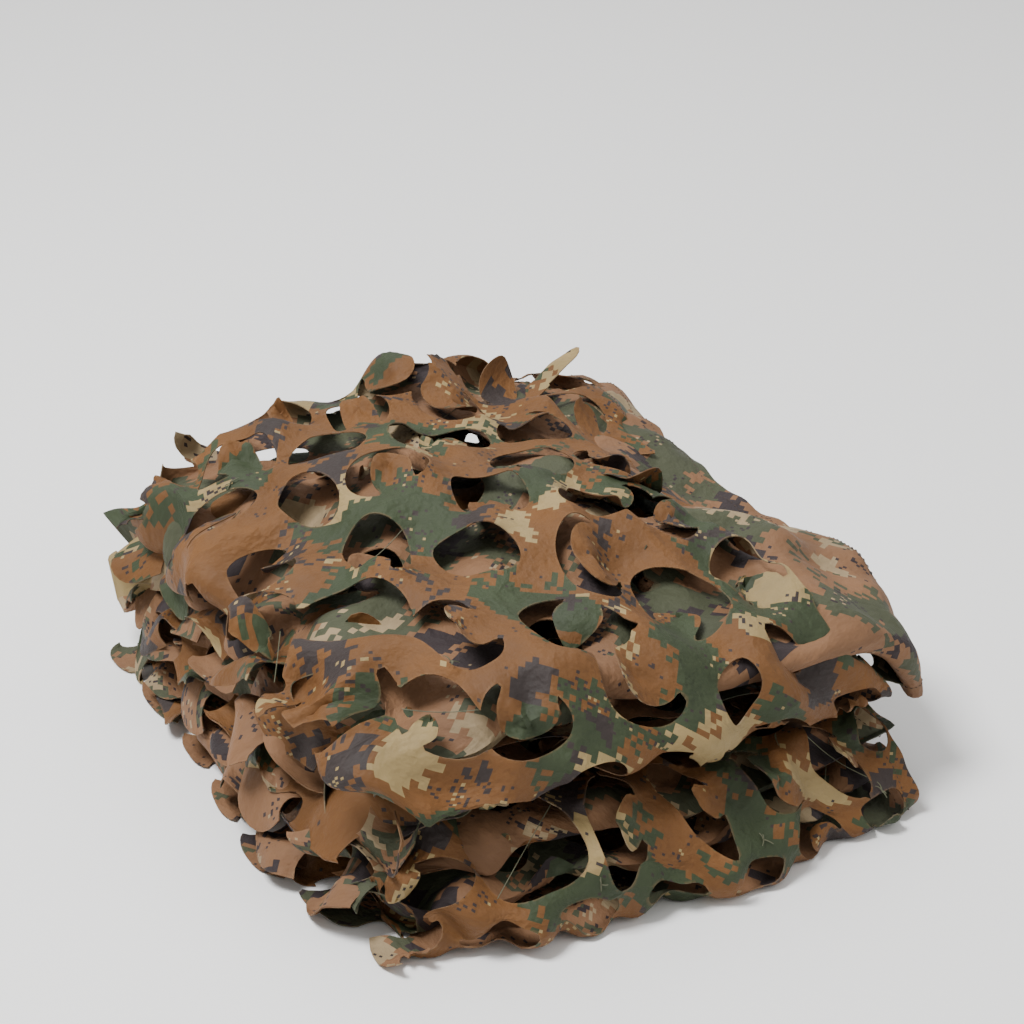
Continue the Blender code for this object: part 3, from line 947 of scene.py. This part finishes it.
def point_normals(places, triangles):
    """Normals of a surface at its points."""
    corners = places[triangles]
    flat = np.cross(corners[:, 1] - corners[:, 0], corners[:, 2] - corners[:, 0])
    normals = np.zeros_like(places)
    for corner in range(3):
        np.add.at(normals, triangles[:, corner], flat)
    return unit(normals)


def flat_area(points, triangles):
    """Area of triangles of the flat strip, in square metres."""
    a, b, c = (points[triangles[:, corner]] for corner in range(3))
    twice = (b[:, 0] - a[:, 0]) * (c[:, 1] - a[:, 1]) - (b[:, 1] - a[:, 1]) * (c[:, 0] - a[:, 0])
    return float(np.abs(twice).sum() / 2 * MM * MM)


def in_scene(name, data):
    """A new object of the scene."""
    made = bpy.data.objects.new(name, data)
    bpy.context.scene.collection.objects.link(made)
    return made


def new_piece(name, places, faces, materials, slots=None, flat=None, smooth_angle=50.0):
    """A mesh object from places in millimetres, with its materials, and its flat places as UVs."""
    mesh = bpy.data.meshes.new(name)
    mesh.from_pydata((places * MM).tolist(), [], faces)
    for material in materials:
        mesh.materials.append(material)
    if slots is not None:
        mesh.polygons.foreach_set("material_index", slots)
    if flat is not None:
        corners = np.empty(len(mesh.loops), dtype=np.int32)
        mesh.loops.foreach_get("vertex_index", corners)
        layer = mesh.uv_layers.new(name="flat_cloth")
        layer.data.foreach_set("uv", (flat[corners] * MM).astype(np.float32).ravel())
    piece = in_scene(name, mesh)
    bpy.ops.object.select_all(action="DESELECT")
    bpy.context.view_layer.objects.active = piece
    piece.select_set(True)
    bpy.ops.object.shade_smooth_by_angle(angle=math.radians(smooth_angle))
    piece.select_set(False)
    return piece


def centred(places):
    """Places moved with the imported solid, whose base is centred on the origin."""
    return places + SOLID_SHIFT


def make_sheet(sheet, materials):
    """One length of the net: closed cloth with a printed face, a reverse and cut edges."""
    flat, triangles, room = trimmed_grid(sheet)
    middle = centred(cloth_place(flat[:, 0], flat[:, 1]))
    normals = point_normals(middle, triangles)
    thick = THICK + HEM_RISE * smooth(flat[:, 0], *HEM_STEP)
    out = normals * thick[:, None] / 2
    places = np.concatenate([middle + out, middle - out])
    count = len(flat)
    rim = open_edges(triangles)
    walls = np.stack([rim[:, 1], rim[:, 0], rim[:, 0] + count, rim[:, 1] + count], 1)
    faces = triangles.tolist() + (triangles[:, ::-1] + count).tolist() + walls.tolist()
    slots = np.repeat([0, 1, 2], [len(triangles), len(triangles), len(walls)]).astype(np.int32)
    piece = new_piece(sheet["name"], places, faces, materials, slots, np.concatenate([flat, flat]))
    layer = piece.data.attributes.new("room_to_cut", "FLOAT", "POINT")
    rim_room = np.clip(room / RIM_WIDTH, 0.0, 1.0)
    layer.data.foreach_set("value", np.tile(rim_room, 2).astype(np.float32))
    return piece, flat_area(flat, triangles), (flat[:, 1].max() - flat[:, 1].min()) * MM


# ------------------------------------------------------------------ materials


def shade(red, green, blue):
    """A colour given as it looks on a screen, from 0 to 255, for a shader."""
    values = []
    for value in (red, green, blue):
        part = value / 255.0
        values.append(part / 12.92 if part <= 0.04045 else ((part + 0.055) / 1.055) ** 2.4)
    return (*values, 1.0)


class Wiring:
    """Adds nodes to one tree. An input is given by its name, or by its number as i0, i1 and so on."""

    def __init__(self, tree):
        self.tree = tree

    def node(self, kind, settings=None, **inputs):
        made = self.tree.nodes.new(kind)
        for key, value in (settings or {}).items():
            setattr(made, key, value)
        for key, value in inputs.items():
            numbered = key[0] == "i" and key[1:].isdigit()
            self.fill(made.inputs[int(key[1:]) if numbered else key], value)
        return made

    def group(self, tree, **inputs):
        return self.node("ShaderNodeGroup", {"node_tree": tree}, **inputs).outputs

    def fill(self, socket, value):
        if isinstance(value, bpy.types.NodeSocket):
            self.tree.links.new(value, socket)
        else:
            socket.default_value = value

    def maths(self, operation, first, second=0.0, third=0.0):
        made = self.node("ShaderNodeMath", {"operation": operation}, i0=first, i1=second, i2=third)
        return made.outputs[0]

    def blend(self, share, first, second):
        made = self.node("ShaderNodeMix", {"data_type": "RGBA"}, i0=share, i6=first, i7=second)
        return made.outputs[2]


def new_group(name, inputs, outputs):
    """A shader node group with named sockets."""
    tree = bpy.data.node_groups.new(name, "ShaderNodeTree")
    for label, kind, value in inputs:
        socket = tree.interface.new_socket(label, in_out="INPUT", socket_type=kind)
        if value is not None:
            socket.default_value = value
    for label, kind in outputs:
        tree.interface.new_socket(label, in_out="OUTPUT", socket_type=kind)
    wiring = Wiring(tree)
    entry, leaving = wiring.node("NodeGroupInput"), wiring.node("NodeGroupOutput")
    return tree, wiring, entry.outputs, leaving.inputs


def new_material(name):
    """A material, the wiring of its nodes and its shader."""
    material = bpy.data.materials.new(name)
    material.use_nodes = True
    return material, Wiring(material.node_tree), material.node_tree.nodes["Principled BSDF"]


# Print: sizes of its blocks and specks, its place and turn on the cloth, how ragged the patches are,
# and how the specks crowd: the size of the crowds, and the limits of the dark and the pale ones
BLOCK = 3.6 * MM
SPECK = 1.8 * MM
PRINT_SHIFT = (0.31, 0.0, 0.0)
PRINT_TURN = math.radians(36.0)
RAGGED_PATCH = 0.09
CROWDS = 30.0
CROWD_SHARE = -0.6
DARK_LIMIT = 1.31
PALE_LIMIT = 0.93
PRINT_COLOURS = ("Brown", "Green", "Dark", "Tan")

# Patches of the print, laid one on the other: colour, size of the patches and how much they cover
PATCH_COLUMNS = ("name", "size", "offset", "limit")
PATCHES = [
    ("Green", 14.0, 3.1, 0.598),
    ("Dark", 21.0, 11.7, 0.672),
    ("Tan", 15.0, 23.3, 0.700),
]


def snapped(wiring, vector, size):
    """A vector that changes in square steps."""
    made = wiring.node("ShaderNodeVectorMath", {"operation": "SNAP"}, i0=vector, i1=(size, size, size))
    return made.outputs[0]


def print_group():
    """The print of the cloth: stepped patches of four colours, made of small blocks."""
    inputs = [("Cloth", "NodeSocketVector", None)]
    inputs += [(name, "NodeSocketColor", (0.5, 0.5, 0.5, 1.0)) for name in PRINT_COLOURS]
    tree, wiring, entry, leaving = new_group(
        "stepped_patches", inputs, [("Colour", "NodeSocketColor")]
    )
    blocks = snapped(wiring, entry["Cloth"], BLOCK)
    specks = snapped(wiring, entry["Cloth"], SPECK)
    colour = entry["Brown"]
    jitter = wiring.node("ShaderNodeTexWhiteNoise", {"noise_dimensions": "2D"}, Vector=blocks)
    fine = wiring.node("ShaderNodeTexWhiteNoise", {"noise_dimensions": "2D"}, Vector=specks)
    for patch in rows(PATCH_COLUMNS, PATCHES):
        moved = wiring.node(
            "ShaderNodeVectorMath", {"operation": "ADD"},
            i0=blocks, i1=(patch["offset"], patch["offset"] * 0.7, 0.0),
        )
        patchy = wiring.node(
            "ShaderNodeTexNoise", {"noise_dimensions": "2D"},
            Vector=moved.outputs[0], Scale=patch["size"], Detail=2.0, Roughness=0.55,
        )
        rough = wiring.maths("MULTIPLY_ADD", jitter.outputs[0], RAGGED_PATCH, patchy.outputs[0])
        mask = wiring.maths("GREATER_THAN", rough, patch["limit"])
        colour = wiring.blend(mask, colour, entry[patch["name"]])
    crowd = wiring.node(
        "ShaderNodeTexNoise", {"noise_dimensions": "2D"}, Vector=specks, Scale=CROWDS, Detail=1.0
    )
    few = wiring.maths("MULTIPLY_ADD", crowd.outputs[0], CROWD_SHARE, DARK_LIMIT)
    dark_speck = wiring.maths("GREATER_THAN", fine.outputs[0], few)
    colour = wiring.blend(dark_speck, colour, entry["Dark"])
    pale = wiring.maths("LESS_THAN", fine.outputs[0], wiring.maths("SUBTRACT", PALE_LIMIT, few))
    colour = wiring.blend(pale, colour, entry["Tan"])
    tree.links.new(colour, leaving["Colour"])
    return tree


def weave_group():
    """Plain weave: height of the threads."""
    tree, wiring, entry, leaving = new_group(
        "plain_weave",
        [("Cloth", "NodeSocketVector", None), ("Threads", "NodeSocketFloat", 2400.0)],
        [("Height", "NodeSocketFloat")],
    )
    parts = wiring.node("ShaderNodeSeparateXYZ", i0=entry["Cloth"])
    waves = []
    for output in (0, 1):
        turns = wiring.maths("MULTIPLY", parts.outputs[output], entry["Threads"])
        waves.append(wiring.maths("SINE", wiring.maths("MULTIPLY", turns, math.tau)))
    product = wiring.maths("MULTIPLY", waves[0], waves[1])
    tree.links.new(product, leaving["Height"])
    return tree


# Fine crinkles of handled cloth: how many a metre, how much they bend and how deep they are
CRINKLES = 30.0
CRINKLE_BEND = 0.012
CRINKLE_SHARE = 6.0

# Rubbed cut edges: how narrow they are, and the limit of the noise that breaks them up
RUBBED_EDGE = 9.0
RUBBED_LIMIT = 0.47


def handling_and_shade_group():
    """Soft creases, rubbed cut edges, and a cloud of painted shade and wear: a mask for colour, the
    cloud and a height.
    """
    tree, wiring, entry, leaving = new_group(
        "handling_and_painted_shade",
        [("Cloth", "NodeSocketVector", None), ("Room", "NodeSocketFloat", 1.0)],
        [("Rubbed", "NodeSocketFloat"), ("Painted_shade_and_wear", "NodeSocketFloat"), ("Height", "NodeSocketFloat")],
    )
    uneven = wiring.node("ShaderNodeTexNoise", Vector=entry["Cloth"], Scale=160.0, Detail=3.0)
    edge = wiring.maths("SUBTRACT", 1.0, wiring.maths("MULTIPLY", entry["Room"], RUBBED_EDGE))
    edge = wiring.maths("MAXIMUM", edge, 0.0)
    broken = wiring.maths("GREATER_THAN", uneven.outputs[0], RUBBED_LIMIT)
    rubbed = wiring.maths("MULTIPLY", edge, broken)
    tree.links.new(rubbed, leaving["Rubbed"])
    # A slow cloud: on the colour it is painted shade of soft creases and uneven light, on the roughness
    # it is wear, and it also decides where crinkles show.
    cloud = wiring.node(
        "ShaderNodeTexNoise", Vector=entry["Cloth"], Scale=22.0, Detail=4.0, Roughness=0.6
    )
    tree.links.new(cloud.outputs[0], leaving["Painted_shade_and_wear"])
    crease = wiring.node(
        "ShaderNodeTexNoise", {"noise_type": "RIDGED_MULTIFRACTAL"},
        Vector=entry["Cloth"], Scale=14.0, Detail=3.0, Distortion=0.6,
    )
    bent = wiring.node(
        "ShaderNodeVectorMath", {"operation": "MULTIPLY_ADD"},
        i0=uneven.outputs["Color"], i1=(CRINKLE_BEND, CRINKLE_BEND, 0.0), i2=entry["Cloth"],
    )
    crinkle = wiring.node(
        "ShaderNodeTexVoronoi", {"voronoi_dimensions": "2D"}, Vector=bent.outputs[0], Scale=CRINKLES
    )
    patchy = wiring.maths("MULTIPLY", crinkle.outputs["Distance"], cloud.outputs[0])
    height = wiring.maths("MULTIPLY_ADD", patchy, CRINKLE_SHARE, crease.outputs[0])
    tree.links.new(height, leaving["Height"])
    return tree


PRINT, WEAVE, HANDLING_AND_SHADE = print_group(), weave_group(), handling_and_shade_group()

# Colours of the print on its right side, on its reverse, where it is paler, and on the cut edge
INK_COLUMNS = ("name", "Brown", "Green", "Dark", "Tan", "rubbed", "roughness")
INKS = [
    (
        "camouflage_print",
        (103, 68, 35), (52, 61, 40), (51, 43, 41), (144, 124, 84), (134, 100, 64), 0.62,
    ),
    (
        "camouflage_reverse",
        (121, 88, 62), (66, 69, 51), (49, 41, 42), (142, 124, 95), (138, 110, 80), 0.7,
    ),
    (
        "cut_edge",
        (98, 68, 44), (66, 68, 52), (54, 46, 44), (134, 118, 92), (136, 114, 88), 0.8,
    ),
]

# How much painted shade of soft creases and uneven light changes brightness, how much uneven wear
# changes roughness, and how much of the rubbed colour shows
PAINTED_SHADE_RANGE = 0.36
PAINTED_SHADE_LEAST = 0.8
WORN_ROUGHNESS = 0.16
RUBBED_SHARE = 0.28


def cloth_material(inks):
    """Printed polyester: stepped patches with painted shade of soft creases and uneven light, a fine
    weave, soft creases and rubbed edges.
    """
    material, wiring, shader = new_material(inks["name"])
    place = wiring.node("ShaderNodeUVMap", {"uv_map": "flat_cloth"}).outputs[0]
    room = wiring.node("ShaderNodeAttribute", {"attribute_name": "room_to_cut"}).outputs["Fac"]
    moved = wiring.node("ShaderNodeVectorMath", {"operation": "ADD"}, i0=place, i1=PRINT_SHIFT)
    turned = wiring.node(
        "ShaderNodeVectorRotate", {"rotation_type": "Z_AXIS"}, Vector=moved.outputs[0], Angle=PRINT_TURN
    )
    colours = {name: shade(*inks[name]) for name in PRINT_COLOURS}
    printed = wiring.group(PRINT, Cloth=turned.outputs[0], **colours)
    weave = wiring.group(WEAVE, Cloth=place)
    handling_and_painted_shade = wiring.group(HANDLING_AND_SHADE, Cloth=place, Room=room)
    # The slow cloud: painted shade for the colour, wear for the roughness.
    shade_and_wear = wiring.node(
        "ShaderNodeMapRange", i0=handling_and_painted_shade["Painted_shade_and_wear"], i1=0.3, i2=0.7, i3=0.0, i4=1.0
    ).outputs[0]
    # Painted shade: the print is darkened and lightened by the slow cloud, standing in for soft creases
    # and uneven light.
    print_with_painted_shade = wiring.node(
        "ShaderNodeHueSaturation", Color=printed["Colour"],
        Value=wiring.maths("MULTIPLY_ADD", shade_and_wear, PAINTED_SHADE_RANGE, PAINTED_SHADE_LEAST),
    ).outputs[0]
    rubbed = wiring.maths("MULTIPLY", handling_and_painted_shade["Rubbed"], RUBBED_SHARE)
    wiring.fill(shader.inputs["Base Color"], wiring.blend(rubbed, print_with_painted_shade, shade(*inks["rubbed"])))
    smoothest = inks["roughness"] - WORN_ROUGHNESS / 2
    rough = wiring.maths("MULTIPLY_ADD", shade_and_wear, WORN_ROUGHNESS, smoothest)
    wiring.fill(shader.inputs["Roughness"], rough)
    soft = wiring.node("ShaderNodeBump", Height=handling_and_painted_shade["Height"], Strength=0.8, Distance=0.0022)
    threads = wiring.node(
        "ShaderNodeBump", Height=weave["Height"], Normal=soft.outputs[0],
        Strength=0.35, Distance=0.00008,
    )
    wiring.fill(shader.inputs["Normal"], threads.outputs[0])
    shader.inputs["Specular IOR Level"].default_value = 0.26
    shader.inputs["Sheen Weight"].default_value = 0.02
    shader.inputs["Sheen Roughness"].default_value = 0.5
    return material


def twine_material(name, light, dark):
    """Twisted string or sewing thread."""
    material, wiring, shader = new_material(name)
    place = wiring.node("ShaderNodeTexCoord").outputs["Object"]
    fibres = wiring.node("ShaderNodeTexNoise", Vector=place, Scale=900.0, Detail=2.0).outputs[0]
    bump = wiring.node("ShaderNodeBump", Height=fibres, Strength=0.5, Distance=0.0002)
    wiring.fill(shader.inputs["Base Color"], wiring.blend(fibres, shade(*dark), shade(*light)))
    wiring.fill(shader.inputs["Normal"], bump.outputs[0])
    wiring.fill(shader.inputs["Roughness"], wiring.maths("MULTIPLY_ADD", fibres, 0.2, 0.6))
    return material


CLOTH_MATERIALS = [cloth_material(inks) for inks in rows(INK_COLUMNS, INKS)]
THREAD = twine_material("sewing_thread", (70, 52, 38), (44, 34, 28))
STRING = twine_material("backing_string", (104, 104, 80), (66, 68, 50))

# ------------------------------------------------------------------ stitches and strings

# Hem stitches: length, distance from one to the next, radius, line across the cloth, room to the
# nearest cut, and share of the radius, place and height at their ends and in the middle
STITCH = 2.7
STITCH_PITCH = 3.8
STITCH_RADIUS = 0.38
STITCH_LINE = HALF - 9.0
STITCH_ROOM = 1.0
STITCH_SHAPE = np.array([0.35, 1.0, 0.35])
STITCH_PLACES = np.array([-0.5, 0.0, 0.5])
STITCH_HEIGHTS = np.array([-0.1, 0.22, -0.1])

# Strings of the backing mesh that show across openings: radius, depth of their ends under the cloth,
# distance of their points, and both ends, from the lower end of the upper wrap or of the lower one
STRING_RADIUS = 0.3
STRING_DEPTH = 1.2
STRING_STEP = 4.0
STRING_COLUMNS = ("wrap", "across", "along", "to_across", "to_along", "sag")
STRINGS = [
    ("upper", -146, 214, -170, 186, 2.0),
    ("upper", -128, 362, -146, 326, 3.0),
    ("upper", -136, 110, -98, 84, 3.0),
    ("upper", -108, 232, -60, 250, 3.0),
    ("upper", 20, 376, 80, 416, 3.0),
    ("lower", 122, 52, 156, 98, 2.0),
    ("lower", 160, 54, 124, 92, 3.0),
    ("lower", -112, 56, -54, 100, 3.0),
]

# Knots that tie the mesh to the cloth, and their loose ends: number, length, points along one end,
# and radius from the knot to the tip
KNOT_COLUMNS = ("wrap", "across", "along")
KNOTS = [
    ("upper", -100, 116),
    ("upper", -122, 372),
    ("lower", 106, 98),
    ("lower", 62, 44),
    ("lower", 158, 46),
    ("lower", -52, 44),
]
KNOT_ENDS = 4
KNOT_END = 6.0
KNOT_STEPS = 5
KNOT_RADII = np.linspace(0.45, 0.25, KNOT_STEPS)


def wrap_start(name):
    """Lower end of a wrap along the strip."""
    return {"upper": UPPER_WRAP[0], "lower": LOWER_WRAP[0]}[name]


def cloth_frames(across, along):
    """Places on the finished cloth, with its directions there."""
    place = centred(cloth_place(across, along))
    over = unit(cloth_place(across + STEP, along) - cloth_place(across - STEP, along))
    onward = unit(cloth_place(across, along + STEP) - cloth_place(across, along - STEP))
    return place, over, onward, unit(np.cross(over, onward))


def tube(path, side, up, radius, around):
    """A tube with pointed ends along a path: its points and faces."""
    rings = []
    for turn in range(around):
        angle = math.tau * turn / around
        rings.append(path + (side * math.cos(angle) + up * math.sin(angle)) * radius[:, None])
    places = np.stack(rings, 1).reshape(-1, 3)
    faces = []
    for step in range(len(path) - 1):
        for turn in range(around):
            low, next_low = step * around + turn, step * around + (turn + 1) % around
            faces.append((low, next_low, next_low + around, low + around))
    last = (len(path) - 1) * around
    faces += [tuple(range(around - 1, -1, -1)), tuple(range(last, last + around))]
    return places, faces


def joined(parts):
    """Several meshes as one: points and faces."""
    places, faces, count = [], [], 0
    for own_places, own_faces in parts:
        faces += [tuple(corner + count for corner in face) for face in own_faces]
        places.append(own_places)
        count += len(own_places)
    return np.concatenate(places), faces


def stitch_parts():
    """Every stitch of the hem, on both faces of the cloth."""
    middles = np.arange(STITCH_PITCH, STRIP - STITCH_PITCH, STITCH_PITCH)
    line = np.full_like(middles, STITCH_LINE)
    sewn = (right_edge(middles) > WHOLE_EDGE) & (cloth_field(line, middles) > STITCH_ROOM)
    middles, line = middles[sewn], line[sewn]
    place, over, onward, out = cloth_frames(line, middles)
    thick = (THICK + HEM_RISE) / 2
    parts = []
    for face in (1.0, -1.0):
        for middle, side, way, up in zip(place, over, onward, out * face):
            steps = STITCH_PLACES[:, None] * STITCH * way
            path = middle + steps + up * (thick + STITCH_HEIGHTS)[:, None]
            parts.append(tube(path, side * face, up, STITCH_SHAPE * STITCH_RADIUS, 4))
    return parts


def string_parts():
    """The strings of the backing mesh."""
    parts = []
    for row in rows(STRING_COLUMNS, STRINGS):
        start = wrap_start(row["wrap"])
        span = math.hypot(row["to_across"] - row["across"], row["to_along"] - row["along"])
        part = np.linspace(0.0, 1.0, max(6, int(span / STRING_STEP)))
        across = row["across"] + (row["to_across"] - row["across"]) * part
        along = start + row["along"] + (row["to_along"] - row["along"]) * part
        place, _, _, out = cloth_frames(across, along)
        ends = place[[0, -1]] - out[[0, -1]] * STRING_DEPTH
        straight = ends[0] + (ends[1] - ends[0]) * part[:, None]
        path = straight - out.mean(0) * (row["sag"] * np.sin(math.pi * part))[:, None]
        way = unit(np.gradient(path, axis=0))
        side = unit(np.cross(way, out.mean(0)))
        parts.append(tube(path, side, np.cross(side, way), np.full(len(path), STRING_RADIUS), 5))
    return parts


def knot_parts():
    """The knots of the backing mesh, with their loose ends."""
    parts = []
    draw = np.random.default_rng(61)
    for row in rows(KNOT_COLUMNS, KNOTS):
        across = np.array([float(row["across"])])
        along = np.array([row["along"] + wrap_start(row["wrap"])])
        place, over, onward, out = (values[0] for values in cloth_frames(across, along))
        for _ in range(KNOT_ENDS):
            turn = draw.uniform(0.0, math.tau)
            way = over * math.cos(turn) + onward * math.sin(turn)
            side = unit(np.cross(way, out))
            run = np.linspace(0.0, 1.0, KNOT_STEPS)[:, None] * KNOT_END * draw.uniform(0.5, 1.1)
            arch = np.sin(np.linspace(0.2, 2.4, KNOT_STEPS))[:, None] * draw.uniform(0.4, 1.2)
            path = place + way * run + out * (0.8 + 1.6 * arch)
            parts.append(tube(path, side, np.cross(side, way), KNOT_RADII, 5))
    return parts


def fitting(name, parts, material):
    """A small piece of the net that rides with it."""
    piece = new_piece(name, *joined(parts), [material], smooth_angle=60.0)
    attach(piece, "root")


# ------------------------------------------------------------------ pieces

for sheet in rows(SHEET_COLUMNS, SHEETS):
    piece, area, length = make_sheet(sheet, CLOTH_MATERIALS)
    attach(piece, "root")
    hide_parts("net_cloth")
fitting("hem_stitching", stitch_parts(), THREAD)
fitting("backing_strings", string_parts() + knot_parts(), STRING)

# ------------------------------------------------------------------ floor, light and camera

# Camera: its angle and place are fitted to the base edges of the bundle in the photograph
AZIMUTH = math.radians(28.0)
ELEVATION = math.radians(27.0)
CAMERA_PLACE = (-0.7819, -1.4794, 1.0159)
LENS = 104.4
SENSOR = 36.0

# Floor, lights and the soft light all round
FLOOR_HALF = 6.0
FLOOR_COLOUR = (0.95, 0.95, 0.95, 1.0)
FLOOR_ROUGHNESS = 0.9
STUDIO_COLOUR = (1.0, 0.98, 0.94, 1.0)
STUDIO_STRENGTH = 0.5
LIT_PLACE = Vector((0.0, 0.0, 0.08))

LIGHT_COLUMNS = ("name", "place", "size", "power")
LIGHTS = [
    ("key_light", (-1.0, 0.1, 2.2), 0.8, 81.0),
    ("fill_light", (1.4, -1.6, 1.5), 1.8, 14.0),
    ("back_light", (0.6, 1.6, 2.2), 1.6, 24.0),
]


def floor():
    """A plain pale floor."""
    mesh = bpy.data.meshes.new("floor")
    near, far = -FLOOR_HALF, FLOOR_HALF
    corners = [(near, near, 0.0), (far, near, 0.0), (far, far, 0.0), (near, far, 0.0)]
    mesh.from_pydata(corners, [], [(0, 1, 2, 3)])
    material, _, shader = new_material("pale_floor")
    shader.inputs["Base Color"].default_value = FLOOR_COLOUR
    shader.inputs["Roughness"].default_value = FLOOR_ROUGHNESS
    mesh.materials.append(material)
    in_scene("floor", mesh)


def place_facing(thing, place, way):
    """Puts a light or the camera in its place and points it."""
    thing.location = place
    thing.rotation_mode = "QUATERNION"
    thing.rotation_quaternion = way.to_track_quat("-Z", "Y")


def lights():
    """Plain soft studio light."""
    for row in rows(LIGHT_COLUMNS, LIGHTS):
        data = bpy.data.lights.new(row["name"], "AREA")
        data.size = row["size"]
        data.energy = row["power"]
        place_facing(in_scene(row["name"], data), row["place"], LIT_PLACE - Vector(row["place"]))
    world = bpy.data.worlds.new("studio")
    world.use_nodes = True
    background = world.node_tree.nodes["Background"]
    background.inputs["Color"].default_value = STUDIO_COLOUR
    background.inputs["Strength"].default_value = STUDIO_STRENGTH
    bpy.context.scene.world = world


def camera():
    """The camera at the photograph's angle."""
    data = bpy.data.cameras.new("camera")
    data.lens = LENS
    data.sensor_width = SENSOR
    look = Vector((
        math.sin(AZIMUTH) * math.cos(ELEVATION),
        math.cos(AZIMUTH) * math.cos(ELEVATION),
        -math.sin(ELEVATION),
    ))
    eye = in_scene("camera", data)
    place_facing(eye, CAMERA_PLACE, look)
    bpy.context.scene.camera = eye


floor()
lights()
camera()
